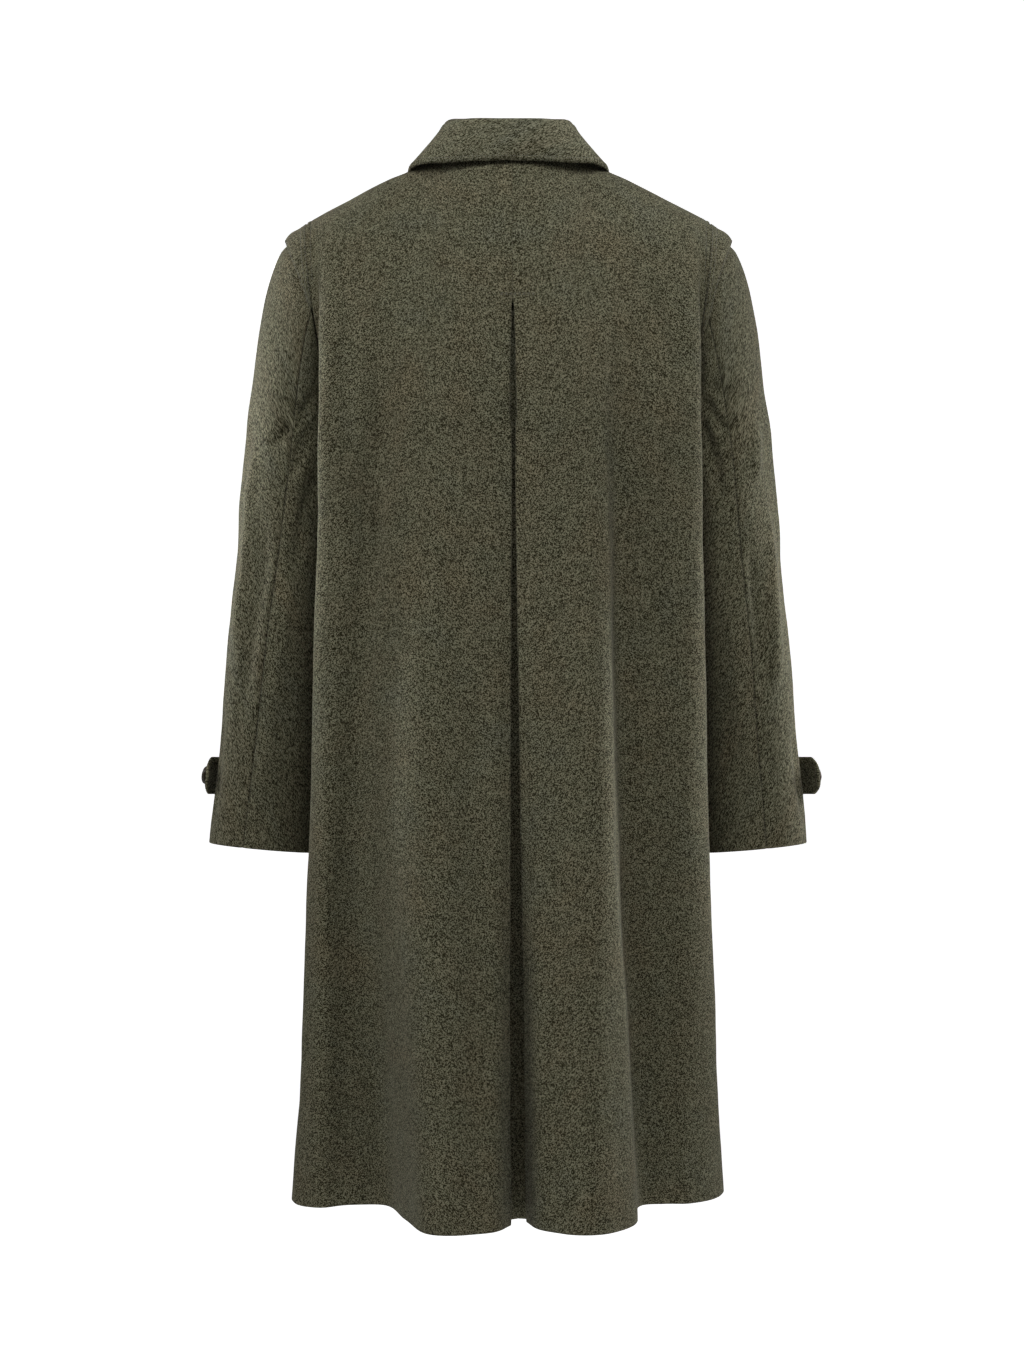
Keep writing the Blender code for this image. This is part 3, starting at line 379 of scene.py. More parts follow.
def hermite(start, end, leave, arrive, t):
    return (
        start * (2 * t**3 - 3 * t**2 + 1)
        + leave * (t**3 - 2 * t**2 + t)
        + end * (3 * t**2 - 2 * t**3)
        + arrive * (t**3 - t**2)
    )


def between(values, at):
    """Rows of a table read at fractional places, on smooth curves through all of them."""
    values, at = np.asarray(values, float), np.asarray(at, float)
    low = np.clip(at.astype(int), 0, len(values) - 2)
    t = (at - low).reshape(at.shape + (1,) * (values.ndim - 1))
    longer = np.concatenate([2 * values[:1] - values[1:2], values, 2 * values[-1:] - values[-2:-1]])
    before, a, b, after = (longer[low + k] for k in range(4))
    return hermite(a, b, (b - before) / 2, (after - a) / 2, t)


def keyed(pairs, at):
    """Straight-line reading of a short table of (place, value)."""
    places, values = zip(*pairs)
    return np.interp(at, places, values)


def unit(vectors):
    return vectors / np.maximum(np.linalg.norm(vectors, axis=-1, keepdims=True), 1e-9)


def mirrored(side, points):
    """Points given as (out, y, z) on one side of the coat."""
    return points * np.array((side, 1, 1))


def neckline(out, forward):
    turn = np.sqrt(np.clip(1 - (out / NECK_OUT) ** 2, 0, 1))
    side_z = NECK_SIDE_Z - COLLAR_PRESS
    if forward:
        return np.stack([out, NECK_FRONT * turn, side_z + (NECK_FRONT_Z - side_z) * turn**NECK_DIP], -1)
    rise = NECK_BACK_Z + (side_z - NECK_BACK_Z) * (out / NECK_OUT) ** 2
    return np.stack([out, -NECK_BACK * turn, rise], -1)


def top_edge(out, forward):
    """Where a panel ends at the top: the neck seam, then the shoulder seam."""
    pressed = COLLAR_PRESS * (1 - eased(out, PRESS_FROM, PRESS_TO))
    shoulder = np.stack([out, 0 * out, NECK_SIDE_Z - (out - NECK_OUT) * SHOULDER_SLOPE - pressed], -1)
    return np.where((np.abs(out) < NECK_OUT)[..., None], neckline(out, forward), shoulder)


def panel_points(plan, climb, across, down, forward):
    """Points of a panel in rows: down is 0 at its top edge, 1 at the chest and 2 at the hem."""
    keys = between([row[1:] for row in plan], across)
    rise = between(climb, across)
    chest, hip, hem = keys[:, 0:2], keys[:, 2:4], keys[:, 4:6]
    chest_point = np.column_stack([chest, np.full(len(across), CHEST_Z)])
    leave = np.column_stack([0 * across, rise[:, 1], rise[:, 2]])
    mean = hem - chest
    rows = []
    for place in down:
        if place <= 1:
            rows.append(hermite(top_edge(rise[:, 0], forward), chest_point, leave, rise[:, 3:6], place))
            continue
        level = place - 1
        if level < HIP_SHARE:
            flat = hermite(chest, hip, mean * 0, mean * HIP_SHARE, level / HIP_SHARE)
        else:
            rest = 1 - HIP_SHARE
            flat = hermite(hip, hem, mean * rest, (hem - hip) * HEM_EASE, (level - HIP_SHARE) / rest)
        rows.append(np.column_stack([flat, CHEST_Z + (keys[:, 6] - CHEST_Z) * level]))
    return np.array(rows)


def armhole(degrees):
    """The armhole seam by angle: 0 at the shoulder, 90 at the back, 180 under the arm, 270 in front."""
    degrees = np.asarray(degrees, float) % 360
    behind = (degrees <= 180)[..., None]
    chest = np.array((BACK_PLAN[LEFT][-1][1], BACK_PLAN[LEFT][-1][2], CHEST_Z), float)
    top = top_edge(np.array(float(BACK_CLIMB[-1][0])), False)
    slopes = [np.array((0, *row[1:6]), float) for row in (BACK_CLIMB[-1], FRONT_CLIMB[0])]
    leave = np.where(behind, slopes[0][:3], slopes[1][:3])
    arrive = np.where(behind, slopes[0][3:], slopes[1][3:])
    share = np.minimum(degrees, 360 - degrees)[..., None] / 180
    return hermite(top, chest, leave, arrive, share)


def round_armhole(values, degrees):
    """Four vectors, a quarter turn apart, read at any angle."""
    values = np.array(values, float)
    quarter = (np.asarray(degrees, float) % 360) / 90
    low = quarter.astype(int) % 4
    share = smooth(quarter - low)[..., None]
    return values[low] + (values[(low + 1) % 4] - values[low]) * share


def arm_point(degrees, share):
    """A point of the sleeve below the bicep, share 0 there and 1 at the cuff, as (out, y, z)."""
    degrees, share = np.broadcast_arrays(np.asarray(degrees, float), np.asarray(share, float))
    out, z, half_width, half_depth, y = np.moveaxis(between(ARM_RINGS, share * (len(ARM_RINGS) - 1)), -1, 0)
    turn = np.radians(degrees)
    wide = half_width * np.cos(turn)
    back = half_depth * np.sin(turn)
    return np.stack([out + wide * math.cos(ARM_LEAN), y - back, z + wide * math.sin(ARM_LEAN)], -1)


def head_point(degrees, share):
    """A point of the sleeve head, share 0 at the armhole and 1 at the bicep."""
    degrees, share = np.broadcast_arrays(np.asarray(degrees, float), np.asarray(share, float))
    start = armhole(degrees) + round_armhole(HEAD_START, degrees)
    leave, arrive = round_armhole(HEAD_LEAVE, degrees), round_armhole(HEAD_ARRIVE, degrees)
    return hermite(start, arm_point(degrees, 0 * degrees), leave, arrive, share[..., None])


def normals_of(points, outside):
    """Outward normals of rows of points; outside holds a rough way out for each."""
    normals = unit(np.cross(np.gradient(points, axis=0), np.gradient(points, axis=1)))
    return normals if (normals * outside).sum() > 0 else -normals


def sheet_of(points, normals):
    """Points, normals and half thickness as one array, seven numbers for each point of a sheet."""
    return np.concatenate([points, normals, np.full(points.shape[:2] + (1,), CLOTH / 2)], -1)


def from_edge(sheet, edge):
    """A view of a sheet in which each row runs away from one edge."""
    if edge in ("top", "bottom"):
        sheet = sheet.transpose(1, 0, 2)
    return sheet[:, ::-1] if edge in ("last", "bottom") else sheet


def lengths_along(lines):
    steps = np.linalg.norm(np.diff(lines[..., :3], axis=1), axis=-1)
    return np.concatenate([np.zeros((len(lines), 1)), np.cumsum(steps, axis=1)], 1)


def finish_edge(sheet, edge, profile, weight=None):
    """Adds lines of points near one edge, rounds the cloth there and drops it as the profile says."""
    lines = from_edge(sheet, edge)
    weight = np.ones(len(lines)) if weight is None else weight
    reach = lengths_along(lines)
    near = np.array([distance for distance, _ in profile], float)
    first = near[-1] + 1
    finer = np.empty((len(lines), len(near) + lines.shape[1] - 1, 7))
    places = np.empty(finer.shape[:2])
    for k, (line, length) in enumerate(zip(lines, reach)):
        later = first + (length[1:] - length[1]) * (length[-1] - first) / (length[-1] - length[1])
        places[k] = np.concatenate([near, later])
        for channel in range(7):
            finer[k, :, channel] = np.interp(places[k], length, line[:, channel])
    drops = np.array([drop for _, drop in profile], float)
    finer[..., 3:6] = unit(finer[..., 3:6])
    drop = np.interp(places, near, drops) * (places <= near[-1]) * weight[:, None]
    finer[..., :3] -= finer[..., 3:6] * drop[..., None]
    inside = np.clip(1 - places / (CLOTH / 2), 0, 1)
    rounded = CLOTH / 2 * np.maximum(np.sqrt(1 - inside**2), THINNEST)
    finer[..., 6] = np.minimum(finer[..., 6], CLOTH / 2 + (rounded - CLOTH / 2) * weight[:, None])
    if edge in ("last", "bottom"):
        finer = finer[:, ::-1]
    return finer.transpose(1, 0, 2) if edge in ("top", "bottom") else finer


def finish_edges(sheet, **profiles):
    """Finishes several edges in the order given."""
    for edge, profile in profiles.items():
        sheet = finish_edge(sheet, edge, profile)
    return sheet


def groove(sheet, edge, distance, depth, width, weight=1):
    """Presses a line into the cloth at one distance from an edge."""
    lines = from_edge(sheet, edge)
    away = lengths_along(lines) - distance
    pressed = depth * np.exp(-((away / width) ** 2)) * np.reshape(weight, (-1, 1))
    lines[..., :3] -= lines[..., 3:6] * pressed[..., None]


def line_on(sheet, edge, distance, keep=None):
    """The line at one distance from an edge of a sheet, as points with normals and half thickness."""
    lines = from_edge(sheet, edge)
    reach = lengths_along(lines)
    found = np.array([[np.interp(distance, length, line[:, k]) for k in range(7)]
                      for line, length in zip(lines, reach)])
    return found if keep is None else found[keep]


def crease_height(across, down, creases):
    """How far the cloth stands out at each place, from soft troughs and ridges along short paths."""
    total = np.zeros(across.shape)
    for path, width, height in creases:
        path = np.array(path, float)
        runs = np.linalg.norm(np.diff(path, axis=0), axis=1)
        nearest = np.full(across.shape, 1e9)
        place = np.zeros(across.shape)
        for k, run in enumerate(runs):
            step = (path[k + 1] - path[k]) / run
            along = np.clip((across - path[k, 0]) * step[0] + (down - path[k, 1]) * step[1], 0, run)
            gap = np.hypot(across - path[k, 0] - along * step[0], down - path[k, 1] - along * step[1])
            closer = gap < nearest
            nearest = np.where(closer, gap, nearest)
            place = np.where(closer, (runs[:k].sum() + along) / runs.sum(), place)
        fade = smooth(place / CREASE_FADE) * smooth((1 - place) / CREASE_FADE)
        total += height * np.exp(-((nearest / width) ** 2)) * fade
    return total


def softened(values, passes):
    """Each row drawn towards its neighbours again and again."""
    for _ in range(passes):
        longer = np.concatenate([values[:1], values, values[-1:]])
        values = (longer[:-2] + 2 * values + longer[2:]) / 4
    return values


def relaxed(points):
    """Evens out the cloth below the neck and shoulder seams, which stay where they are."""
    weight = (eased(points[..., 2], *RELAX_Z) * RELAX_SHARE)[..., None]
    weight[0], weight[:, 0], weight[:, -1] = 0, 0, 0
    for _ in range(RELAX_PASSES):
        inner = points[1:-1, 1:-1]
        mean = (points[:-2, 1:-1] + points[2:, 1:-1] + points[1:-1, :-2] + points[1:-1, 2:]) / 4
        points[1:-1, 1:-1] = inner + (mean - inner) * weight[1:-1, 1:-1]
    return points


def unevenness(points):
    """Small waves of the cloth, the same for any two pieces that meet."""
    heights = [
        sum(height * noise.noise(Vector(p) / length + Vector(shift)) for height, length, shift in WAVES)
        for p in points.reshape(-1, 3)
    ]
    return np.array(heights).reshape(points.shape[:-1])


def raised(points, normals, height):
    return points + normals * height[..., None]


def seam_fade(points, first=0, last=0):
    """0 at a seam on the first or last column, rising to 1 over so many millimetres."""
    reach = lengths_along(points)
    fade = np.ones(reach.shape)
    if first:
        fade *= smooth(reach / first)
    if last:
        fade *= smooth((reach[:, -1:] - reach) / last)
    return fade


def places_between(steps):
    places = [key + k / count for key, count in enumerate(steps) for k in range(count)]
    return np.array(places + [len(steps)], float)


def down_places():
    """Rows of a panel from its top edge to the hem, with one on each side of the pleat's top."""
    yoke = np.linspace(0, 1, YOKE_STEPS + 1)
    nearest = np.abs(yoke - PLEAT_AT).argmin()
    yoke[nearest] = PLEAT_AT
    yoke[nearest - 1] = PLEAT_AT - PLEAT_TOP_GAP
    return np.concatenate([yoke, 1 + np.linspace(0, 1, SKIRT_STEPS + 1)[1:]])


def pleat_share(down):
    """How far down the pleat a row lies, from 0 at its top to 1 at the hem."""
    return np.interp(down, (PLEAT_AT, 1, 2), (0, PLEAT_CHEST_SHARE, 1))


def body_points(side):
    """Points and normals of the back and the front of one side, agreeing along the seams between them."""
    down = down_places()
    across = places_between(BACK_STEPS)
    back = panel_points(BACK_PLAN[side], BACK_CLIMB, across, down, False)
    seam = side * CENTRE_SEAM_X + SEAM
    rolled = seam + fold_radius(down) + CLOTH / 2
    opening = np.clip((down - PLEAT_AT) / (1 - PLEAT_AT), 0, 1)
    edge = np.where(down < PLEAT_AT, seam, rolled + (BACK_PLAN[side][0][1] - rolled) * opening)[:, None]
    pulled = edge + (back[..., 0] - edge) * np.minimum(across, 1)
    back[..., 0] = np.where(down[:, None] < 1, pulled, back[..., 0])

    plan = [list(row) for row in FRONT_PLAN]
    plan[0][5:] = BACK_PLAN[side][-1][5:]
    front = panel_points(plan, FRONT_CLIMB, places_between(FRONT_STEPS), down, True)
    if side == RIGHT:
        front[..., 1] -= TUCK * smooth((TUCK_FROM * OVERLAP - front[..., 0]) / OVERLAP)

    sheets = []
    for points in (back, front):
        points = mirrored(side, relaxed(points))
        outside = points * (1, 1, 0)
        outside[:2, :, 2] = 60  # the shoulders face up
        sheets.append([points, normals_of(points, outside)])
    (back, back_n), (front, front_n) = sheets
    below = down >= 1
    shared = unit(back_n[below, -1] + front_n[below, 0])
    back_n[below, -1] = shared
    front_n[below, 0] = shared
    for points, normals in sheets:
        on_shoulder = np.abs(points[0, :, 0]) >= NECK_OUT - 1
        normals[0, on_shoulder, 1] = 0
        normals[0] = unit(normals[0])
    closed = down < PLEAT_AT
    back_n[closed, 0, 0] = 0
    back_n[:, 0] = unit(back_n[:, 0])
    return down, back, back_n, front, front_n


def body_height(points, creases, seams):
    """How far a panel stands out from its plain form, kept low near the shoulders and the seams."""
    fade = eased(points[..., 2], *SHOULDER_FADE_Z)
    height = BODY_GAIN * crease_height(np.abs(points[..., 0]), points[..., 2], creases)
    return height * fade * seam_fade(points, *seams) + unevenness(points)


def fold_radius(down):
    """The pleat's rolled edge grows from a tight one at its top."""
    return np.interp(down, (PLEAT_AT, PLEAT_AT + FOLD_OPENS), (TIGHT_FOLD, FOLD_RADIUS))


def welted(sheet, edge):
    """A side edge with its seam, and with stitching beside it near the shoulder."""
    weight = eased(from_edge(sheet, edge)[:, 0, 2], *WELT_Z)
    sheet = finish_edge(sheet, edge, WELT)
    groove(sheet, edge, STITCH_IN, *STITCH_GROOVE, weight)
    return sheet


def make_back(side, down, points, normals):
    """One back, from the shoulder to the hem, with its half of the pleat turned in behind it."""
    sheet = sheet_of(points, normals)
    opened = down >= PLEAT_AT
    sheet = finish_edge(sheet, "first", SEAMED, CENTRE_SEAM_DEPTH * (1.0 - opened))
    sheet = welted(sheet, "last")

    share = pleat_share(down)[:, None]
    radius = fold_radius(down)[:, None]
    main = sheet[..., :3]
    main_n = sheet[..., 3:6]
    crest = (np.abs(main[-1, :, 0]) > BACK_PLAN[side][2][5]).argmax()
    columns = np.arange(0, crest, 2)[::-1]
    spread = np.linspace(1, 0, len(columns))[None, :]
    depth = 2 * radius + RETURN_SPREAD * share * spread
    behind = main[:, columns] - main_n[:, columns] * depth[..., None]
    onward = unit(main[:, 0] - main[:, 6])
    onward = unit(onward - main_n[:, 0] * (onward * main_n[:, 0]).sum(-1, keepdims=True))
    centre = main[:, 0] - main_n[:, 0] * radius
    turns = FOLD_TURNS[None, :, None]
    around = main_n[:, :1] * np.cos(turns) + onward[:, None] * np.sin(turns)
    roll = centre[:, None] + around * radius[..., None]
    pleat = np.concatenate([sheet_of(behind, -main_n[:, columns]), sheet_of(roll, around)], 1)
    extra = pleat.shape[1]
    whole = np.concatenate([pleat, sheet], 1)
    start = np.where(opened, 0, extra)
    whole = finish_edge(whole, "top", SEAMED)
    start = np.concatenate([np.full(len(whole) - len(start), extra), start])
    whole = finish_edge(whole, "bottom", HEMMED)
    start = np.concatenate([start, np.zeros(len(whole) - len(start), int)])
    piece = make_cloth("cloth_back_" + SIDE_NAMES[side], whole, start, extra)
    return piece, whole, extra


def make_front(side, points, normals):
    """One front, from the shoulder to the hem, stitched along its edge."""
    sheet = welted(sheet_of(points, normals), "first")
    sheet = finish_edges(sheet, last=STITCHED, top=SEAMED, bottom=HEMMED)
    return make_cloth("cloth_front_" + SIDE_NAMES[side], sheet), sheet


def make_underlay(backs, down):
    """The strip that closes the pleat behind its two returns."""
    at_top, more_at_hem = UNDERLAY_SPREAD
    rows = np.flatnonzero(down >= PLEAT_AT)
    keys = np.array((0.5, 1, 1.5, 2))
    across = places_between(BACK_STEPS)
    columns = [int(np.abs(across - key).argmin()) for key in keys]
    lines = []
    for i in rows:
        share = float(pleat_share(down[i]))
        halves = {}
        for side in SIDES:
            points, normals = backs[side]
            depth = 2 * FOLD_RADIUS + RETURN_SPREAD * share * keys / 2 + LAID_ON + UNDERLAY_GAP
            depth += (1 - keys / 2) * (at_top + more_at_hem * share)
            halves[side] = points[i, columns] - normals[i, columns] * depth[:, None]
        edges = [backs[side][0][i, 0] for side in SIDES]
        middle = (edges[0] + edges[1]) / 2
        middle[1] = max(edge[1] for edge in edges) + keyed(UNDERLAY_MIDDLE, share)
        line = np.concatenate([halves[LEFT][::-1], middle[None], halves[RIGHT]])
        lines.append(between(line, np.linspace(0, len(line) - 1, UNDERLAY_COLUMNS)))
    points = np.array(lines)
    normals = normals_of(points, np.broadcast_to((0.0, -1, 0), points.shape))
    sheet = sheet_of(raised(points, normals, UNDERLAY_WAVES * unevenness(points)), normals)
    sheet = finish_edges(sheet, first=HEMMED, last=HEMMED, top=HEMMED, bottom=HEMMED)
    return make_cloth("cloth_pleat_underlay", sheet)


def back_seam(side, down):
    """The angle of the sleeve's back seam: down is 0 at the armhole, 1 at the bicep and 2 at the cuff."""
    return np.interp(down, (0, 1, 2), BACK_SEAM[side])


def sleeve_creases(side, degrees, z):
    """The stronger crease at each place, read at its angle and at the same angle less a full turn."""
    both = [crease_height(angle, z, SLEEVE_CREASES[side]) for angle in (degrees, half_turned(degrees))]
    highest, lowest = np.maximum(*both), np.minimum(*both)
    return np.where(np.abs(lowest) > np.abs(highest), lowest, highest)


def half_turned(degrees):
    return np.where(degrees > 180, degrees - 360, degrees)


def make_sleeve(side):
    """Both pieces of a sleeve, the wide one outside and the narrow one under the arm."""
    head, arm = np.linspace(0, 1, HEAD_STEPS + 1), np.linspace(0, 1, ARM_STEPS + 1)
    down = np.concatenate([head, 1 + arm[1:]])[:, None]
    on_arm = np.maximum(down - 1, 0)
    axis = (arm_point(0 * down, on_arm) + arm_point(0 * down + 180, on_arm)) / 2
    made = {}
    for piece, steps in SLEEVE_STEPS.items():
        first, last = np.full(down.shape, FRONT_SEAM_DEG - 360.0), back_seam(side, down)
        if piece == "sleeve_under":
            first, last = last, np.full(down.shape, float(FRONT_SEAM_DEG))
        # one column beyond each seam, so that the normals agree there
        degrees = first + (last - first) * (np.arange(steps + 3) - 1)[None, :] / steps
        head_points = head_point(degrees, np.minimum(down, 1))
        points = np.where(down[..., None] < 1, head_points, arm_point(degrees, on_arm))
        outside = np.where(down[..., None] > 1, mirrored(side, points - axis), 0)
        points = mirrored(side, points)
        normals = normals_of(points, outside)[:, 1:-1]
        height = sleeve_creases(side, degrees, points[..., 2])[:, 1:-1]
        points, turned = points[:, 1:-1], half_turned(degrees)[:, 1:-1]
        pressed = HEAD_PRESS * (1 - smooth((down - band_share(side, turned)) / PRESS_FADE))
        pressed = pressed * smooth((BAND_WIDTH[side][-1][0] - np.abs(turned)) / PRESS_END_DEG)
        height = SLEEVE_GAIN * height * seam_fade(points, *SLEEVE_SEAM_FADE) + unevenness(points)
        height = height * smooth(down / HEAD_FADE) - pressed
        sheet = sheet_of(raised(points, normals, height), normals)
        sheet = finish_edges(sheet, first=SEAMED, last=SEAMED, top=JOINED, bottom=HEMMED)
        made[piece] = make_cloth(f"cloth_{piece}_{SIDE_NAMES[side]}", sheet), sheet
    return made


def band_share(side, degrees):
    """How far down the sleeve head the band reaches at an angle."""
    length = 2 * np.linalg.norm(head_point(degrees, 0.5) - head_point(degrees, 0), axis=-1)
    return keyed(BAND_WIDTH[side], np.abs(degrees)) / np.maximum(1, length)


def make_band(side):
    """The strip that lies over the head of the sleeve, from one side of the armhole to the other."""
    reach = BAND_WIDTH[side][-1][0]
    degrees = np.linspace(-reach, reach, BAND_STEPS + 1)[:, None]
    share = np.linspace(0, 1, BAND_COLUMNS + 1)[None, :]
    degrees, along = np.broadcast_arrays(degrees, band_share(side, degrees) * share)
    ahead = head_point(degrees, along)
    slope = unit(head_point(degrees, along + BAND_SLOPE_STEP) - ahead)
    round_way = unit(head_point(degrees + BAND_SLOPE_DEG, along) - head_point(degrees - BAND_SLOPE_DEG, along))
    normals = unit(np.cross(slope, round_way))
    outside = np.stack([np.ones(degrees.shape), -2 * np.sin(np.radians(degrees)), np.ones(degrees.shape)], -1)
    normals *= np.sign((normals * outside).sum(-1, keepdims=True))
    puff = softened(keyed(BAND_PUFF, share)[0], PUFF_PASSES)
    puff = puff * smooth((BAND_END_DEG - np.abs(degrees)) / BAND_END_FADE)
    lifted = ahead + normals * (LAID_ON - HEAD_PRESS + puff)[..., None]
    seam = armhole(degrees)
    start = seam + unit(lifted - seam) * BAND_GAP
    points = mirrored(side, start + (lifted - start) * smooth(share / BAND_RISE)[..., None])
    normals = normals_of(points, np.broadcast_to((float(side), 0, 0.6), points.shape))
    sheet = sheet_of(raised(points, normals, BAND_WAVES * unevenness(points)), normals)
    sheet = finish_edges(sheet, first=JOINED, last=HEMMED, top=HEMMED, bottom=HEMMED)
    return make_cloth("cloth_armhole_band_" + SIDE_NAMES[side], sheet), sheet


def tree_of(points, normals):
    """A tree of the faces between rows of points, all facing out."""
    rows, columns = points.shape[:2]
    faces = []
    for i in range(rows - 1):
        for j in range(columns - 1):
            k = i * columns + j
            faces.append((k, k + 1, k + columns + 1, k + columns))
    face_way = np.cross(points[1:, 1:] - points[:-1, :-1], points[1:, :-1] - points[:-1, 1:])
    if (face_way * normals[:-1, :-1]).sum() < 0:
        faces = [face[::-1] for face in faces]
    return BVHTree.FromPolygons([Vector(p) for p in points.reshape(-1, 3)], faces)


def clear_of(point, trees, least):
    """Moves a point out until it lies at least that far from the outside of the sheet nearest to it."""
    point = Vector(point)
    for _ in range(CLEAR_PASSES):
        found = [tree.find_nearest(point)[:2] for tree in trees]
        place, normal = min(found, key=lambda hit: (point - hit[0]).length)
        height = (point - place).dot(normal)
        if height >= least:
            break
        point = point + normal * (least - height)
    return point


def collar_lines(angle, trees):
    """Points across the collar at one angle: up the stand, and then over the fold and down the fall."""
    side = LEFT if angle < 0 else RIGHT
    size = abs(angle)
    at = np.interp(size, COLLAR_ANGLE, range(len(COLLAR_ANGLE)))
    fold, edge = between(COLLAR_FOLD, at), between(COLLAR_EDGE, at)
    seam = neckline(np.array(NECK_OUT * math.sin(math.radians(size))), size > 90)
    seam[2] += COLLAR_RISE
    inward = unit(np.array((-fold[0], COLLAR_MIDDLE_Y - fold[1], 0)))
    upward = np.array((0, 0, 1.0))
    centre = fold - upward * COLLAR_ROLL
    inner = centre + inward * COLLAR_ROLL
    shares = np.linspace(0, STAND_TOP, STAND_STEPS + 1)[:, None]
    stand = seam + (inner - seam) * shares
    turns = np.radians(np.linspace(0, 180, ROLL_STEPS + 1))[:, None]
    roll = centre + (inward * np.cos(turns) + upward * np.sin(turns)) * COLLAR_ROLL
    shares = np.linspace(0, 1, FALL_STEPS + 1)[1:, None]
    most = FALL_BOW[0] + (FALL_BOW[1] - FALL_BOW[0]) * smooth(size / FALL_BOW_DEG)
    bow = (upward - inward * FALL_BOW_IN) * most * np.sin(math.pi * shares)
    fall = mirrored(side, roll[-1] + (edge - roll[-1]) * shares + bow)
    ridge = RIDGE_ROOM * (1 - smooth(np.abs(fall[:, 1]) / RIDGE_REACH))
    moved = np.array([clear_of(p, trees, LAID_ON + COLLAR_ROOM + room) for p, room in zip(fall, ridge)])
    last_up = seam + (inner - seam) * OVER_FROM
    over = np.concatenate([mirrored(side, np.concatenate([last_up[None], roll])), fall])
    return mirrored(side, stand), over, moved - fall


def make_collar(trees):
    """The collar's stand and fall, from one front end round the neck to the other."""
    last = COLLAR_ANGLE[-1]
    lines = [collar_lines(angle, trees) for angle in np.linspace(-last, last, COLLAR_STEPS + 1)]
    stand, fall, shift = (np.array([line[k] for line in lines]) for k in range(3))
    for passes in SHIFT_PASSES:
        shift = softened(shift, passes).transpose(1, 0, 2)
    fall[:, ROLL_STEPS + 2:] += shift
    whole = np.concatenate([stand, fall], 1)
    outside = np.zeros(whole.shape)
    columns = stand.shape[1]
    outside[:, :columns] = (-stand * (1, 1, 0)) + (0, COLLAR_MIDDLE_Y, 0)
    normals = normals_of(whole, outside)
    made = {}
    for name, part in (("collar_stand", slice(0, columns)), ("collar_fall", slice(columns, None))):
        points = whole[:, part]
        part_normals = normals[:, part]
        ends, lip = HEMMED, HEMMED
        if name == "collar_fall":
            points = raised(points, part_normals, COLLAR_WAVES * unevenness(points))
            ends, lip = STITCHED, ROLLED
        sheet = sheet_of(points, part_normals)
        sheet = finish_edges(sheet, top=ends, bottom=ends, last=lip, first=HEMMED)
        made[name] = make_cloth("cloth_" + name, sheet), sheet
    return made


def strap_points(side, degrees, height):
    """Points of the cuff strap, height above or below its middle."""
    share = (STRAP_Z + height - ARM_RINGS[0][1]) / (ARM_RINGS[-1][1] - ARM_RINGS[0][1])
    ahead = arm_point(degrees, share)
    round_way = arm_point(degrees + STRAP_SLOPE_DEG, share) - arm_point(degrees - STRAP_SLOPE_DEG, share)
    normals = np.cross(round_way, (0, 0, 1))
    cuff = ARM_RINGS[-1]
    outside = ahead - np.array((cuff[0], cuff[4], 0))
    outside[..., 2] = 0
    normals = unit(normals) * np.sign((normals * outside).sum(-1, keepdims=True))
    loose = smooth((degrees - STRAP_TO_DEG + STRAP_LOOSE_DEG) / STRAP_LOOSE_DEG)
    lift = LAID_ON + STRAP_GAP + STRAP_LIFT[side] * loose**STRAP_CURL
    return mirrored(side, ahead + normals * lift[..., None])


def make_strap(side):
    """The strap round a cuff, with its loose pointed end at the outside of the arm."""
    degrees = np.linspace(STRAP_FROM_DEG, STRAP_TO_DEG, STRAP_STEPS + 1)[:, None]
    to_tip = (1 - STRAP_TIP_SHARE) * (STRAP_TO_DEG - degrees) * STRAP_PER_DEGREE / STRAP_POINT
    half = STRAP_HEIGHT / 2 * np.minimum(1, STRAP_TIP_SHARE + to_tip)
    height = half * np.linspace(-1, 1, STRAP_COLUMNS + 1)[None, :]
    points = strap_points(side, np.broadcast_to(degrees, height.shape), height)
    normals = normals_of(points, np.broadcast_to((float(side), 0, 0), points.shape))
    sheet = sheet_of(points, normals)
    sheet = finish_edges(sheet, first=STITCHED, last=STITCHED, bottom=STITCHED, top=HEMMED)
    return make_cloth("cloth_cuff_strap_" + SIDE_NAMES[side], sheet), sheet


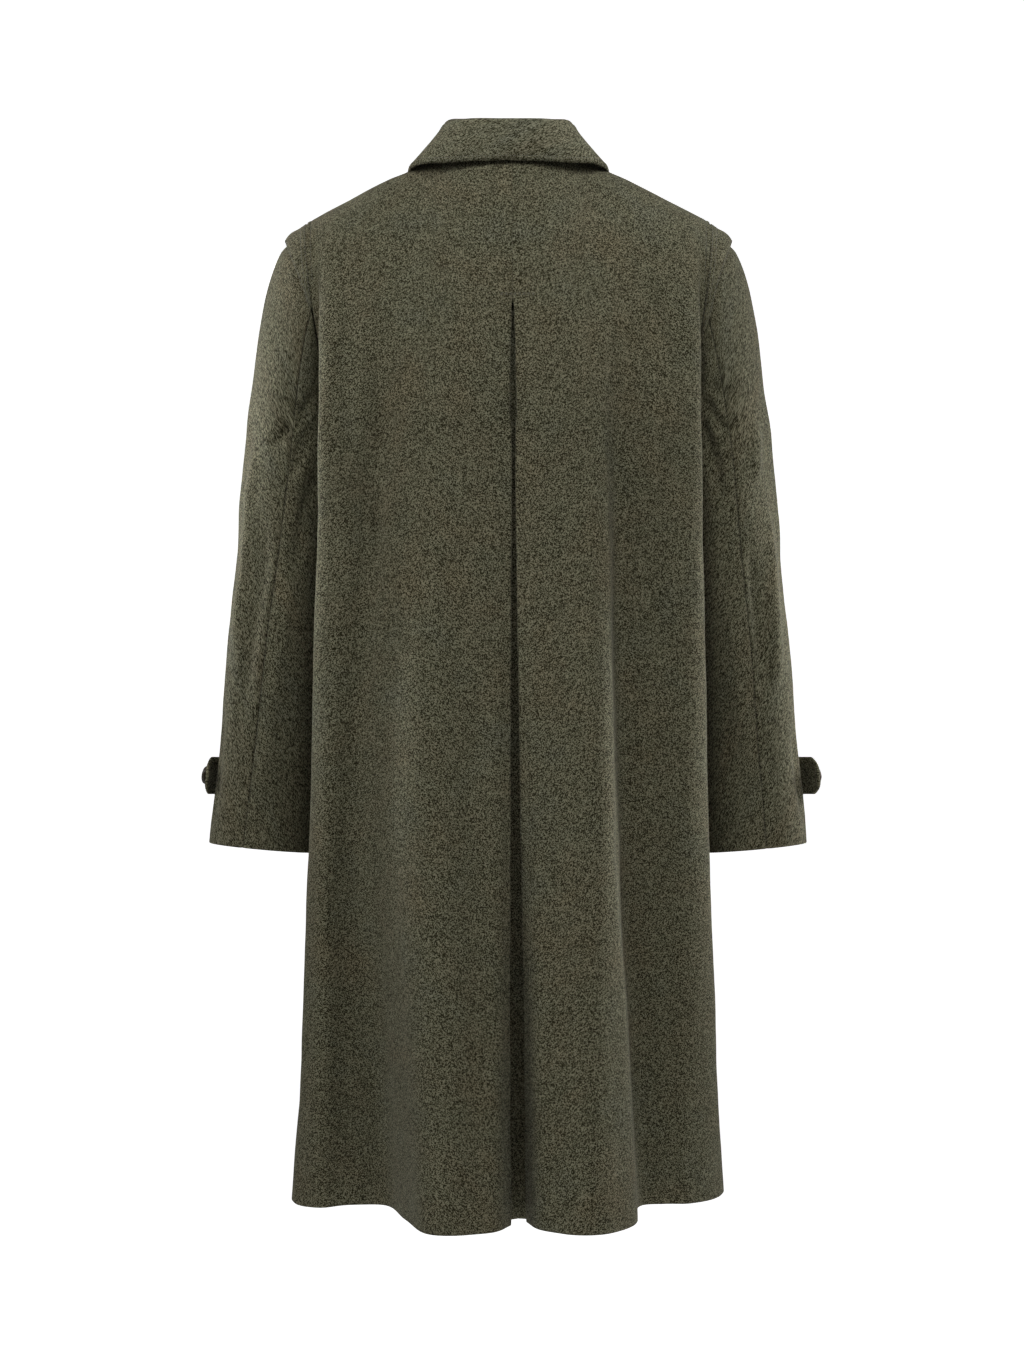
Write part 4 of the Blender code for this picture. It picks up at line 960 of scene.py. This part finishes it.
def make_cloth(name, sheet, start=None, zero_column=0):
    """A closed shell from a sheet: a grid half a cloth out, extruded inwards, with the weave's UV map."""
    rows, columns = sheet.shape[:2]
    start = np.zeros(rows, int) if start is None else start
    flat = sheet.reshape(-1, 7)
    reach = softened(lengths_along(sheet), WEAVE_PASSES)
    fall = softened(lengths_along(sheet.transpose(1, 0, 2)), WEAVE_PASSES).T
    cut = sum(ord(letter) for letter in name)
    across, down = reach - reach[:, zero_column:zero_column + 1], -fall
    grain = np.stack([across + CUT_SHIFT[0] * cut, down + CUT_SHIFT[1] * cut], -1).reshape(-1, 2) * MM
    build = bmesh.new()
    number = build.verts.layers.int.new("number")
    weave = build.loops.layers.uv.new("weave")
    bmesh.ops.create_grid(build, x_segments=columns - 1, y_segments=rows - 1, size=1)
    for k, vert in enumerate(build.verts):
        vert[number] = k
    spare = [vert for vert in build.verts if vert[number] % columns < start[vert[number] // columns]]
    bmesh.ops.delete(build, geom=spare, context="VERTS")
    extruded = bmesh.ops.extrude_face_region(build, geom=build.faces[:], use_keep_orig=True)["geom"]
    inner = {item for item in extruded if isinstance(item, bmesh.types.BMVert)}
    outside = (flat[:, :3] + flat[:, 3:6] * flat[:, 6:]) * MM
    inside = (flat[:, :3] - flat[:, 3:6] * flat[:, 6:]) * MM
    for vert in build.verts:
        vert.co = (inside if vert in inner else outside)[vert[number]]
    for face in build.faces:
        for loop in face.loops:
            loop[weave].uv = grain[loop.vert[number]]
    build.verts.layers.int.remove(number)
    bmesh.ops.recalc_face_normals(build, faces=build.faces)
    return add_piece(name, build)


def new_object(name, data):
    made = bpy.data.objects.new(name, data)
    bpy.context.scene.collection.objects.link(made)
    return made


def object_of(name, build):
    """A smooth object from a finished bmesh, which is freed."""
    mesh = bpy.data.meshes.new(name)
    build.to_mesh(mesh)
    build.free()
    mesh.shade_smooth()
    return new_object(name, mesh)


def add_piece(name, build):
    piece = object_of(name, build)
    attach(piece, "root")
    return piece


def spun(profile, steps):
    """A form turned round the upright axis, from points (out, up)."""
    build = bmesh.new()
    line = [build.verts.new((out, 0, up)) for out, up in profile]
    edges = [build.edges.new(pair) for pair in zip(line, line[1:])]
    bmesh.ops.spin(build, geom=line + edges, cent=(0, 0, 0), axis=(0, 0, 1), angle=2 * math.pi, steps=steps,
                   use_merge=True)
    bmesh.ops.remove_doubles(build, verts=build.verts, dist=1e-4)
    bmesh.ops.recalc_face_normals(build, faces=build.faces)
    return build


def even_places(line, step):
    """A line of points read again at even steps along its length."""
    run = lengths_along(line[None])[0]
    count = max(1, int(run[-1] // step))
    places = np.linspace(0, run[-1], count + 1)
    return np.column_stack([np.interp(places, run, line[:, k]) for k in range(line.shape[1])])


def make_stitches(name, lines, pitch=STITCH_PITCH, share=STITCH_SHARE, thick=STITCH_THICK):
    """Rows of thread stitches lying in lines on the cloth."""
    whole, row_mesh = bmesh.new(), bpy.data.meshes.new("row")
    for line in lines:
        build = bmesh.new()
        spots = even_places(line, pitch)
        for a, b in zip(spots, spots[1:]):
            along = Vector(b[:3] - a[:3])
            outward = Vector(a[3:6] + b[3:6]).normalized()
            middle = Vector(a[:3] + b[:3]) / 2 + outward * (a[6] + thick * STITCH_RISE)
            sideways = along.cross(outward).normalized()
            along.normalize()
            outward = sideways.cross(along)
            turn = Matrix((sideways, outward, along)).transposed().to_4x4()
            size = Matrix.Diagonal((thick, thick * STITCH_FLAT, pitch * share / 2, 1))
            place = Matrix.Translation(middle * MM) @ turn @ size @ Matrix.Scale(MM, 4)
            bmesh.ops.create_uvsphere(build, u_segments=6, v_segments=4, radius=1, matrix=place)
        build.to_mesh(row_mesh)
        build.free()
        whole.from_mesh(row_mesh)
    bpy.data.meshes.remove(row_mesh)
    return add_piece(name, whole)


def make_button(name, place, normal, radius):
    """A turned horn button with a rim, a dished middle, four holes and its thread."""
    thickness = BUTTON_THICKNESS * (radius / BUTTON_RADIUS) ** 0.5
    spread = radius * EYE_SPREAD
    build = spun([(radius * out, thickness * up) for out, up in BUTTON_PROFILE], BUTTON_STEPS)
    button = placed_piece(name, build, place, normal)
    holes = bmesh.new()
    for x in SIDES:
        for y in SIDES:
            spot = Matrix.Translation((x * spread, y * spread, thickness / 2))
            bmesh.ops.create_cone(holes, cap_ends=True, segments=16, radius1=radius * EYE_RADIUS,
                                  radius2=radius * EYE_RADIUS, depth=thickness * EYE_DEPTH, matrix=spot)
    cutter = placed_piece(name + "_holes", holes, place, normal)
    cut = button.modifiers.new("holes", "BOOLEAN")
    cut.object = cutter
    cut.operation = "DIFFERENCE"
    whole = bpy.data.meshes.new_from_object(button.evaluated_get(bpy.context.evaluated_depsgraph_get()))
    button.modifiers.clear()
    button.data = whole
    bpy.data.objects.remove(cutter)
    whole.shade_smooth()
    whole.set_sharp_from_angle(angle=math.radians(BUTTON_SHARP_DEG))

    thread = bmesh.new()
    turn = Matrix.Rotation(math.radians(90), 4, "Y")
    size = Matrix.Diagonal((radius * STRAND_RADIUS, radius * STRAND_RADIUS, spread * STRAND_LENGTH, 1))
    for y in SIDES:
        for strand in (-0.5, 0.5):
            aside = y * spread + strand * radius * STRAND_APART
            spot = Matrix.Translation((0, aside, thickness * STRAND_RISE))
            bmesh.ops.create_uvsphere(thread, u_segments=8, v_segments=8, radius=1, matrix=spot @ turn @ size)
    return button, placed_piece(name + "_thread", thread, place, normal)


def placed_piece(name, build, place, normal):
    """Moves a piece that was built round the upright axis, in millimetres, to its place on the cloth."""
    turn = Vector(normal).to_track_quat("Z", "Y").to_matrix().to_4x4()
    move = Matrix.Scale(MM, 4) @ Matrix.Translation(Vector(place)) @ turn
    bmesh.ops.transform(build, matrix=move, verts=build.verts)
    return add_piece(name, build)


def stitch_line(sheet, edge, distance=STITCH_IN, ends=STITCH_IN):
    """The line of stitching along an edge, stopping short of the corners."""
    line = line_on(sheet, edge, distance)
    run = lengths_along(line[None])[0]
    return line[(run > ends) & (run < run[-1] - ends)]


def buttonhole(point_at, outer, half):
    """The thread round a worked buttonhole; point_at gives the place and way out at (along, up)."""
    middle, reach = (HOLE_FROM + outer) / 2, (outer - HOLE_FROM) / 2
    line = []
    for turn in np.linspace(0, 2 * math.pi, HOLE_POINTS):
        along = middle + reach * np.clip(HOLE_SQUARE * math.cos(turn), -1, 1)
        place, normal = point_at(along, half * math.sin(turn))
        line.append((*place, *normal, CLOTH / 2 + HOLE_RISE))
    return np.array(line)


def seen_on(tree, x, z, ahead):
    """The place on a sheet seen at (x, z) from in front (1) or from behind (-1), and the way out there."""
    place, normal = tree.ray_cast(Vector((x, OUTSIDE_Y * ahead, z)), Vector((0, -ahead, 0)))[:2]
    if normal and normal.y * ahead < 0:
        normal = -normal
    return place, normal


def on_strap(side, degrees, up, step):
    """A place on a cuff strap, and the way out there from its slopes over a step each way."""
    def spot(turn, rise):
        return strap_points(side, np.array(float(degrees + turn)), np.array(float(up + rise)))
    normal = Vector(np.cross(spot(step, 0) - spot(-step, 0), spot(0, step) - spot(0, -step))).normalized()
    return Vector(spot(0, 0)), normal if normal.x * side > 0 else -normal


def line_across(trees, z):
    """The bar tack's line across the back at one height, on the outside of the cloth."""
    line = []
    for x in np.linspace(TACK_FROM, TACK_TO, TACK_POINTS):
        hits = [seen_on(tree, x, z, -1) for tree in trees]
        place, normal = min((hit for hit in hits if hit[0]), key=lambda hit: hit[0].y)
        line.append((*place, *normal, CLOTH / 2))
    return np.array(line)


def armhole_stitches(sheet, edge):
    """The stitching beside the seam where a back or a front meets the top of the sleeve."""
    line = line_on(sheet, edge, STITCH_IN)
    lowest, highest = ARMHOLE_STITCH_Z
    return line[(line[:, 2] > lowest) & (line[:, 2] < highest)]


def make_coat():
    """Builds every piece and hides the solid that each stands for."""
    body, trees = {}, {}
    for side in SIDES:
        down, back, back_n, front, front_n = body_points(side)
        back = raised(back, back_n, body_height(back, BACK_CREASES[side], BACK_SEAM_FADE))
        front = raised(front, front_n, body_height(front, FRONT_CREASES[side], FRONT_SEAM_FADE))
        body[side] = (back, back_n, front, front_n)
        trees[side] = [tree_of(back, back_n), tree_of(front, front_n)]
    high = body[LEFT][0][:, 0, 2] > COLLAR_NEAR_Z
    backs = [np.concatenate([body[LEFT][k][high, ::-1], body[RIGHT][k][high]], 1) for k in (0, 1)]
    under_collar = [tree_of(*backs)] + [tree_of(body[side][2][high], body[side][3][high]) for side in SIDES]
    seams = []
    for side in SIDES:
        name = SIDE_NAMES[side]
        back, back_n, front, front_n = body[side]
        piece, sheet, extra = make_back(side, down, back, back_n)
        cloth(piece, "back_" + name)
        seams.append(armhole_stitches(sheet[:, extra:], "last"))
        piece, sheet = make_front(side, front, front_n)
        cloth(piece, "front_" + name)
        seams += [armhole_stitches(sheet, "first"), stitch_line(sheet, "last")]
        for part, (piece, sheet) in make_sleeve(side).items():
            cloth(piece, part + "_" + name)
        piece, sheet = make_band(side)
        cloth(piece, "armhole_band_" + name)
        seams += [stitch_line(sheet, edge, distance, BAND_STITCH_ENDS) for edge, distance in BAND_STITCHES]
        piece, sheet = make_strap(side)
        cloth(piece, "cuff_strap_" + name)
        seams += [stitch_line(sheet, edge) for edge in ("first", "last", "bottom")]
    cloth(make_underlay({side: body[side][:2] for side in SIDES}, down), "pleat_underlay")
    collar = make_collar(under_collar)
    cloth(collar["collar_stand"][0], "collar_stand")
    piece, sheet = collar["collar_fall"]
    cloth(piece, "collar_fall")
    seams += [stitch_line(sheet, edge) for edge in ("last", "top", "bottom")]
    seams += [line_across([trees[side][0] for side in SIDES], z) for z in TACK_Z]
    add_thread("stitching", seams)
    front = trees[LEFT][1]
    add_thread("buttonhole_thread", buttonholes(front), HOLE_PITCH, HOLE_SHARE, HOLE_THICK)

    for number, z in enumerate(BUTTON_Z, 1):
        place, normal = seen_on(front, 0, z, 1)
        sew_button(f"front_button_{number}", place, normal, BUTTON_RADIUS, BUTTON_SHANK)
    for side in SIDES:
        place, normal = on_strap(side, STRAP_BUTTON_DEG, 0, STRAP_BUTTON_STEP)
        sew_button("cuff_button_" + SIDE_NAMES[side], place, normal, CUFF_BUTTON_RADIUS, CUFF_BUTTON_SHANK)


def buttonholes(front):
    """Worked holes from under each button, across the left front and along the loose end of each strap."""
    lines = []
    for z in BUTTON_Z:
        def on_front(along, up, z=z):
            return seen_on(front, -along, z + up, 1)
        lines.append(buttonhole(on_front, HOLE_REACH, HOLE_HALF))
    for side in SIDES:
        def along_strap(along, up, side=side):
            return on_strap(side, STRAP_BUTTON_DEG - along / STRAP_PER_DEGREE, up, STRAP_HOLE_STEP)
        lines.append(buttonhole(along_strap, CUFF_HOLE_REACH, CUFF_HOLE_HALF))
    return lines


def add_thread(name, lines, *sizes):
    piece = make_stitches(name, lines, *sizes)
    piece.data.materials.append(material_named("olive thread", thread))


def sew_button(name, place, normal, radius, shank):
    button, strands = make_button("horn_" + name, place + normal * (CLOTH / 2 + shank), normal, radius)
    button.data.materials.append(material_named("brown horn", horn))
    strands.data.materials.append(material_named("olive thread", thread))
    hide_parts(name)


def cloth(piece, node):
    """Gives a sheet its wool and hides the solid that it stands for."""
    # the collar pieces take the wool painted lighter, a painted highlight for the light from above
    shade = COLLAR_WOOL_PAINTED_LIGHTER if node.startswith("collar") else COAT_SHADE
    piece.data.materials.append(material_named(shade[0], wool, *shade[1:]))
    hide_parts(node)


# Looks. Colours are linear.

def new_group(name, outputs):
    """An empty node group from a place to some values, with its way in and way out."""
    group = bpy.data.node_groups.new(name, "ShaderNodeTree")
    group.interface.new_socket("Place", in_out="INPUT", socket_type="NodeSocketVector")
    for socket in outputs:
        group.interface.new_socket(socket, in_out="OUTPUT", socket_type="NodeSocketFloat")
    return group, group.nodes.new("NodeGroupInput").outputs[0], group.nodes.new("NodeGroupOutput")


def node(tree, kind, settings=None, **links):
    """A shader node with its settings and inputs, named or as _0, _1; each is a value or a socket."""
    made = tree.nodes.new("ShaderNode" + kind)
    for key, value in (settings or {}).items():
        setattr(made, key, value)
    for key, value in links.items():
        socket = made.inputs[int(key[1:]) if key[0] == "_" else key.replace("_", " ")]
        if isinstance(value, bpy.types.NodeSocket):
            tree.links.new(value, socket)
        else:
            socket.default_value = value
    return made


def maths(tree, operation, *values):
    links = {f"_{k}": value for k, value in enumerate(values)}
    return node(tree, "Math", {"operation": operation}, **links).outputs[0]


def ramp(tree, value, stops):
    made = node(tree, "ValToRGB", _0=value)
    elements = made.color_ramp.elements
    while len(elements) < len(stops):
        elements.new(0.5)
    for element, (place, colour) in zip(elements, stops):
        element.position = place
        element.color = (*colour, 1)
    return made.outputs[0]


def fibres(tree, place, degrees, across, along, seed):
    """Short hairs lying one way: noise that is stretched along them."""
    turned = node(tree, "Mapping", {"vector_type": "POINT"}, Vector=place,
                  Rotation=(0, 0, math.radians(degrees)), Location=(seed, seed * 1.7, seed * 0.3),
                  Scale=(1 / across, 1 / along, 1)).outputs[0]
    return node(tree, "TexNoise", {}, Vector=turned, Scale=1.0, Detail=1.5, Roughness=0.6).outputs[0]


def grouped(tree, name, maker, place):
    """A node group, made the first time it is asked for, fed with the place on the piece."""
    made = tree.nodes.new("ShaderNodeGroup")
    made.node_tree = bpy.data.node_groups.get(name) or maker(name)
    tree.links.new(place, made.inputs[0])
    return made.outputs


def multiplied(tree, first, second):
    settings = {"data_type": "RGBA", "blend_type": "MULTIPLY"}
    return node(tree, "Mix", settings, _0=1.0, _6=first, _7=second).outputs[2]


def wool_group(name):
    """Blended dyed hairs, pressed into a felt: gives its shade, its dye value and its height."""
    group, place, outside = new_group(name, ("Shade", "Dye", "Height"))
    first, second = (fibres(group, place, *row) for row in HAIRS)
    mean = maths(group, "DIVIDE", maths(group, "ADD", first, second), 2.0)
    tuft = node(group, "TexVoronoi", {"feature": "F1"}, Vector=place, Scale=1 / TUFT).outputs["Color"]
    tuft = node(group, "SeparateColor", _0=tuft).outputs[0]
    patch = node(group, "TexNoise", {}, Vector=place, Scale=1 / PATCH, Detail=2.0, Roughness=0.55).outputs[0]
    spread = 0.0
    for value, share in ((mean, HAIR_SHARE), (tuft, TUFT_SHARE), (patch, PATCH_SHARE)):
        spread = maths(group, "MULTIPLY_ADD", maths(group, "SUBTRACT", value, 0.5), share, spread)
    group.links.new(maths(group, "ADD", spread, 0.5), outside.inputs[0])
    dye = node(group, "TexNoise", {}, Vector=place, Scale=1 / DYE, Detail=3.0, Roughness=0.6).outputs["Color"]
    group.links.new(node(group, "SeparateColor", _0=dye).outputs[1], outside.inputs[1])
    slubs = [fibres(group, place, degrees, *SLUB, seed) for degrees, seed in ((0, 4.1), (90, 6.3))]
    height = maths(group, "ADD", maths(group, "ADD", *slubs), maths(group, "MULTIPLY", mean, 1.6))
    group.links.new(height, outside.inputs[2])
    return group


def horn_group(name):
    """Streaks of horn."""
    group, place, outside = new_group(name, ("Shade", "Height"))
    streaks, fine = (fibres(group, place, *row) for row in (HORN_STREAK, HORN_FINE))
    total = maths(group, "MULTIPLY_ADD", fine, 0.4, maths(group, "MULTIPLY", streaks, 0.6))
    group.links.new(total, outside.inputs[0])
    group.links.new(fine, outside.inputs[1])
    return group


def material_named(name, look, *values):
    """A material whose shader is made by a function the first time it is asked for."""
    if name in bpy.data.materials:
        return bpy.data.materials[name]
    material = bpy.data.materials.new(name)
    material.use_nodes = True
    tree = material.node_tree
    tree.nodes.clear()
    shader = look(tree, *values)
    out = tree.nodes.new("ShaderNodeOutputMaterial")
    tree.links.new(shader.outputs[0], out.inputs[0])
    return material


def wool(tree, painted_light_gain, tint):
    """Loden: olive wool with lighter and darker hairs, and a slow drift of brown, green and slate."""
    place = node(tree, "UVMap", {"uv_map": "weave"}).outputs[0]
    felt = grouped(tree, "fulled wool", wool_group, place)
    dyed = multiplied(tree, ramp(tree, felt["Shade"], WOOL_STOPS), ramp(tree, felt["Dye"], DYE_STOPS))
    # A gain above 1 lifts the whole colour; the collar's 1.25 is painted light, standing in for the light from
    # above on it.
    toned = multiplied(tree, dyed, tuple(painted_light_gain * channel for channel in tint) + (1,))
    bump = node(tree, "Bump", {}, Strength=WOOL_BUMP, Distance=WOOL_BUMP_HEIGHT, Height=felt["Height"])
    return node(tree, "BsdfPrincipled", {}, Base_Color=toned, Roughness=0.95, Specular_IOR_Level=0.15,
                Sheen_Weight=WOOL_SHEEN, Sheen_Roughness=0.45, Sheen_Tint=(1.0, 0.97, 0.85, 1),
                Normal=bump.outputs[0])


def thread(tree):
    place = node(tree, "TexCoord", {}).outputs["Object"]
    shade = node(tree, "TexNoise", {}, Vector=place, Scale=900.0, Detail=1.0).outputs[0]
    colour = ramp(tree, shade, THREAD_STOPS)
    return node(tree, "BsdfPrincipled", {}, Base_Color=colour, Roughness=0.6, Sheen_Weight=0.2)


def horn(tree):
    streaks = grouped(tree, "horn streaks", horn_group, node(tree, "TexCoord", {}).outputs["Object"])
    colour = ramp(tree, streaks["Shade"], HORN_STOPS)
    bump = node(tree, "Bump", {}, Strength=HORN_BUMP, Distance=HORN_BUMP_HEIGHT, Height=streaks["Height"])
    return node(tree, "BsdfPrincipled", {}, Base_Color=colour, Roughness=0.32, Normal=bump.outputs[0])


def pale_ground(tree):
    """White to the camera; elsewhere the floor throws light back and the walls only glow a little."""
    place = node(tree, "TexCoord", {}).outputs["Object"]
    grain = node(tree, "TexNoise", {}, Vector=place, Scale=3.0, Detail=2.0).outputs[0]
    colour = ramp(tree, grain, ((0.3, (0.88, 0.88, 0.88)), (0.7, (0.9, 0.9, 0.9))))
    seen = node(tree, "LightPath", {}).outputs["Is Camera Ray"]
    glow = maths(tree, "MULTIPLY_ADD", seen, STAGE_SEEN - STAGE_GLOW, STAGE_GLOW)
    pale = node(tree, "BsdfPrincipled", {}, Base_Color=colour, Roughness=0.9, Specular_IOR_Level=0.0,
                Emission_Color=(1.0, 1.0, 1.0, 1), Emission_Strength=glow)
    dim = node(tree, "Emission", {}, Color=(1.0, 1.0, 1.0, 1), Strength=STAGE_GLOW)
    height = node(tree, "SeparateXYZ", {}, Vector=place).outputs[2]
    fully = maths(tree, "MAXIMUM", seen, maths(tree, "LESS_THAN", height, FLOOR_BELOW))
    return node(tree, "MixShader", {}, _0=fully, _1=dim.outputs[0], _2=pale.outputs[0])


def make_stage():
    """A round floor that curves up into a backdrop on every side, so each view has the same pale ground."""
    flat = STAGE_RADIUS - STAGE_CURVE
    profile = [(0, STAGE_Z)]
    for k in range(CURVE_STEPS + 1):
        turn = math.radians(90 * k / CURVE_STEPS)
        profile.append((flat + STAGE_CURVE * math.sin(turn), STAGE_Z + STAGE_CURVE * (1 - math.cos(turn))))
    profile.append((STAGE_RADIUS, STAGE_TOP_Z))
    backdrop = object_of("backdrop", spun(profile, STAGE_STEPS))
    backdrop.data.materials.append(material_named("pale backdrop", pale_ground))


def add_light(name, place, aim, size, spread, power):
    lamp = bpy.data.lights.new(name, "AREA")
    lamp.shape = "RECTANGLE"
    lamp.size, lamp.size_y = size
    lamp.spread = math.radians(spread)
    lamp.energy = power
    light = new_object(name, lamp)
    light.location = place
    light.rotation_euler = (Vector(aim) - Vector(place)).to_track_quat("-Z", "Y").to_euler()


def light_and_camera():
    scene = bpy.context.scene
    world = bpy.data.worlds.new("studio")
    world.use_nodes = True
    background = world.node_tree.nodes["Background"]
    background.inputs[0].default_value = (1, 1, 1, 1)
    background.inputs[1].default_value = WORLD_LIGHT
    scene.world = world
    for light in LIGHTS:
        add_light(*light)
    camera = new_object("camera", bpy.data.cameras.new("camera"))
    camera.data.sensor_width = CAMERA_SENSOR
    camera.data.lens = CAMERA_LENS
    camera.location = CAMERA_PLACE
    camera.rotation_euler = (math.pi / 2, 0, 0)
    scene.camera = camera
    scene.view_settings.view_transform = "Standard"


make_coat()
make_stage()
light_and_camera()
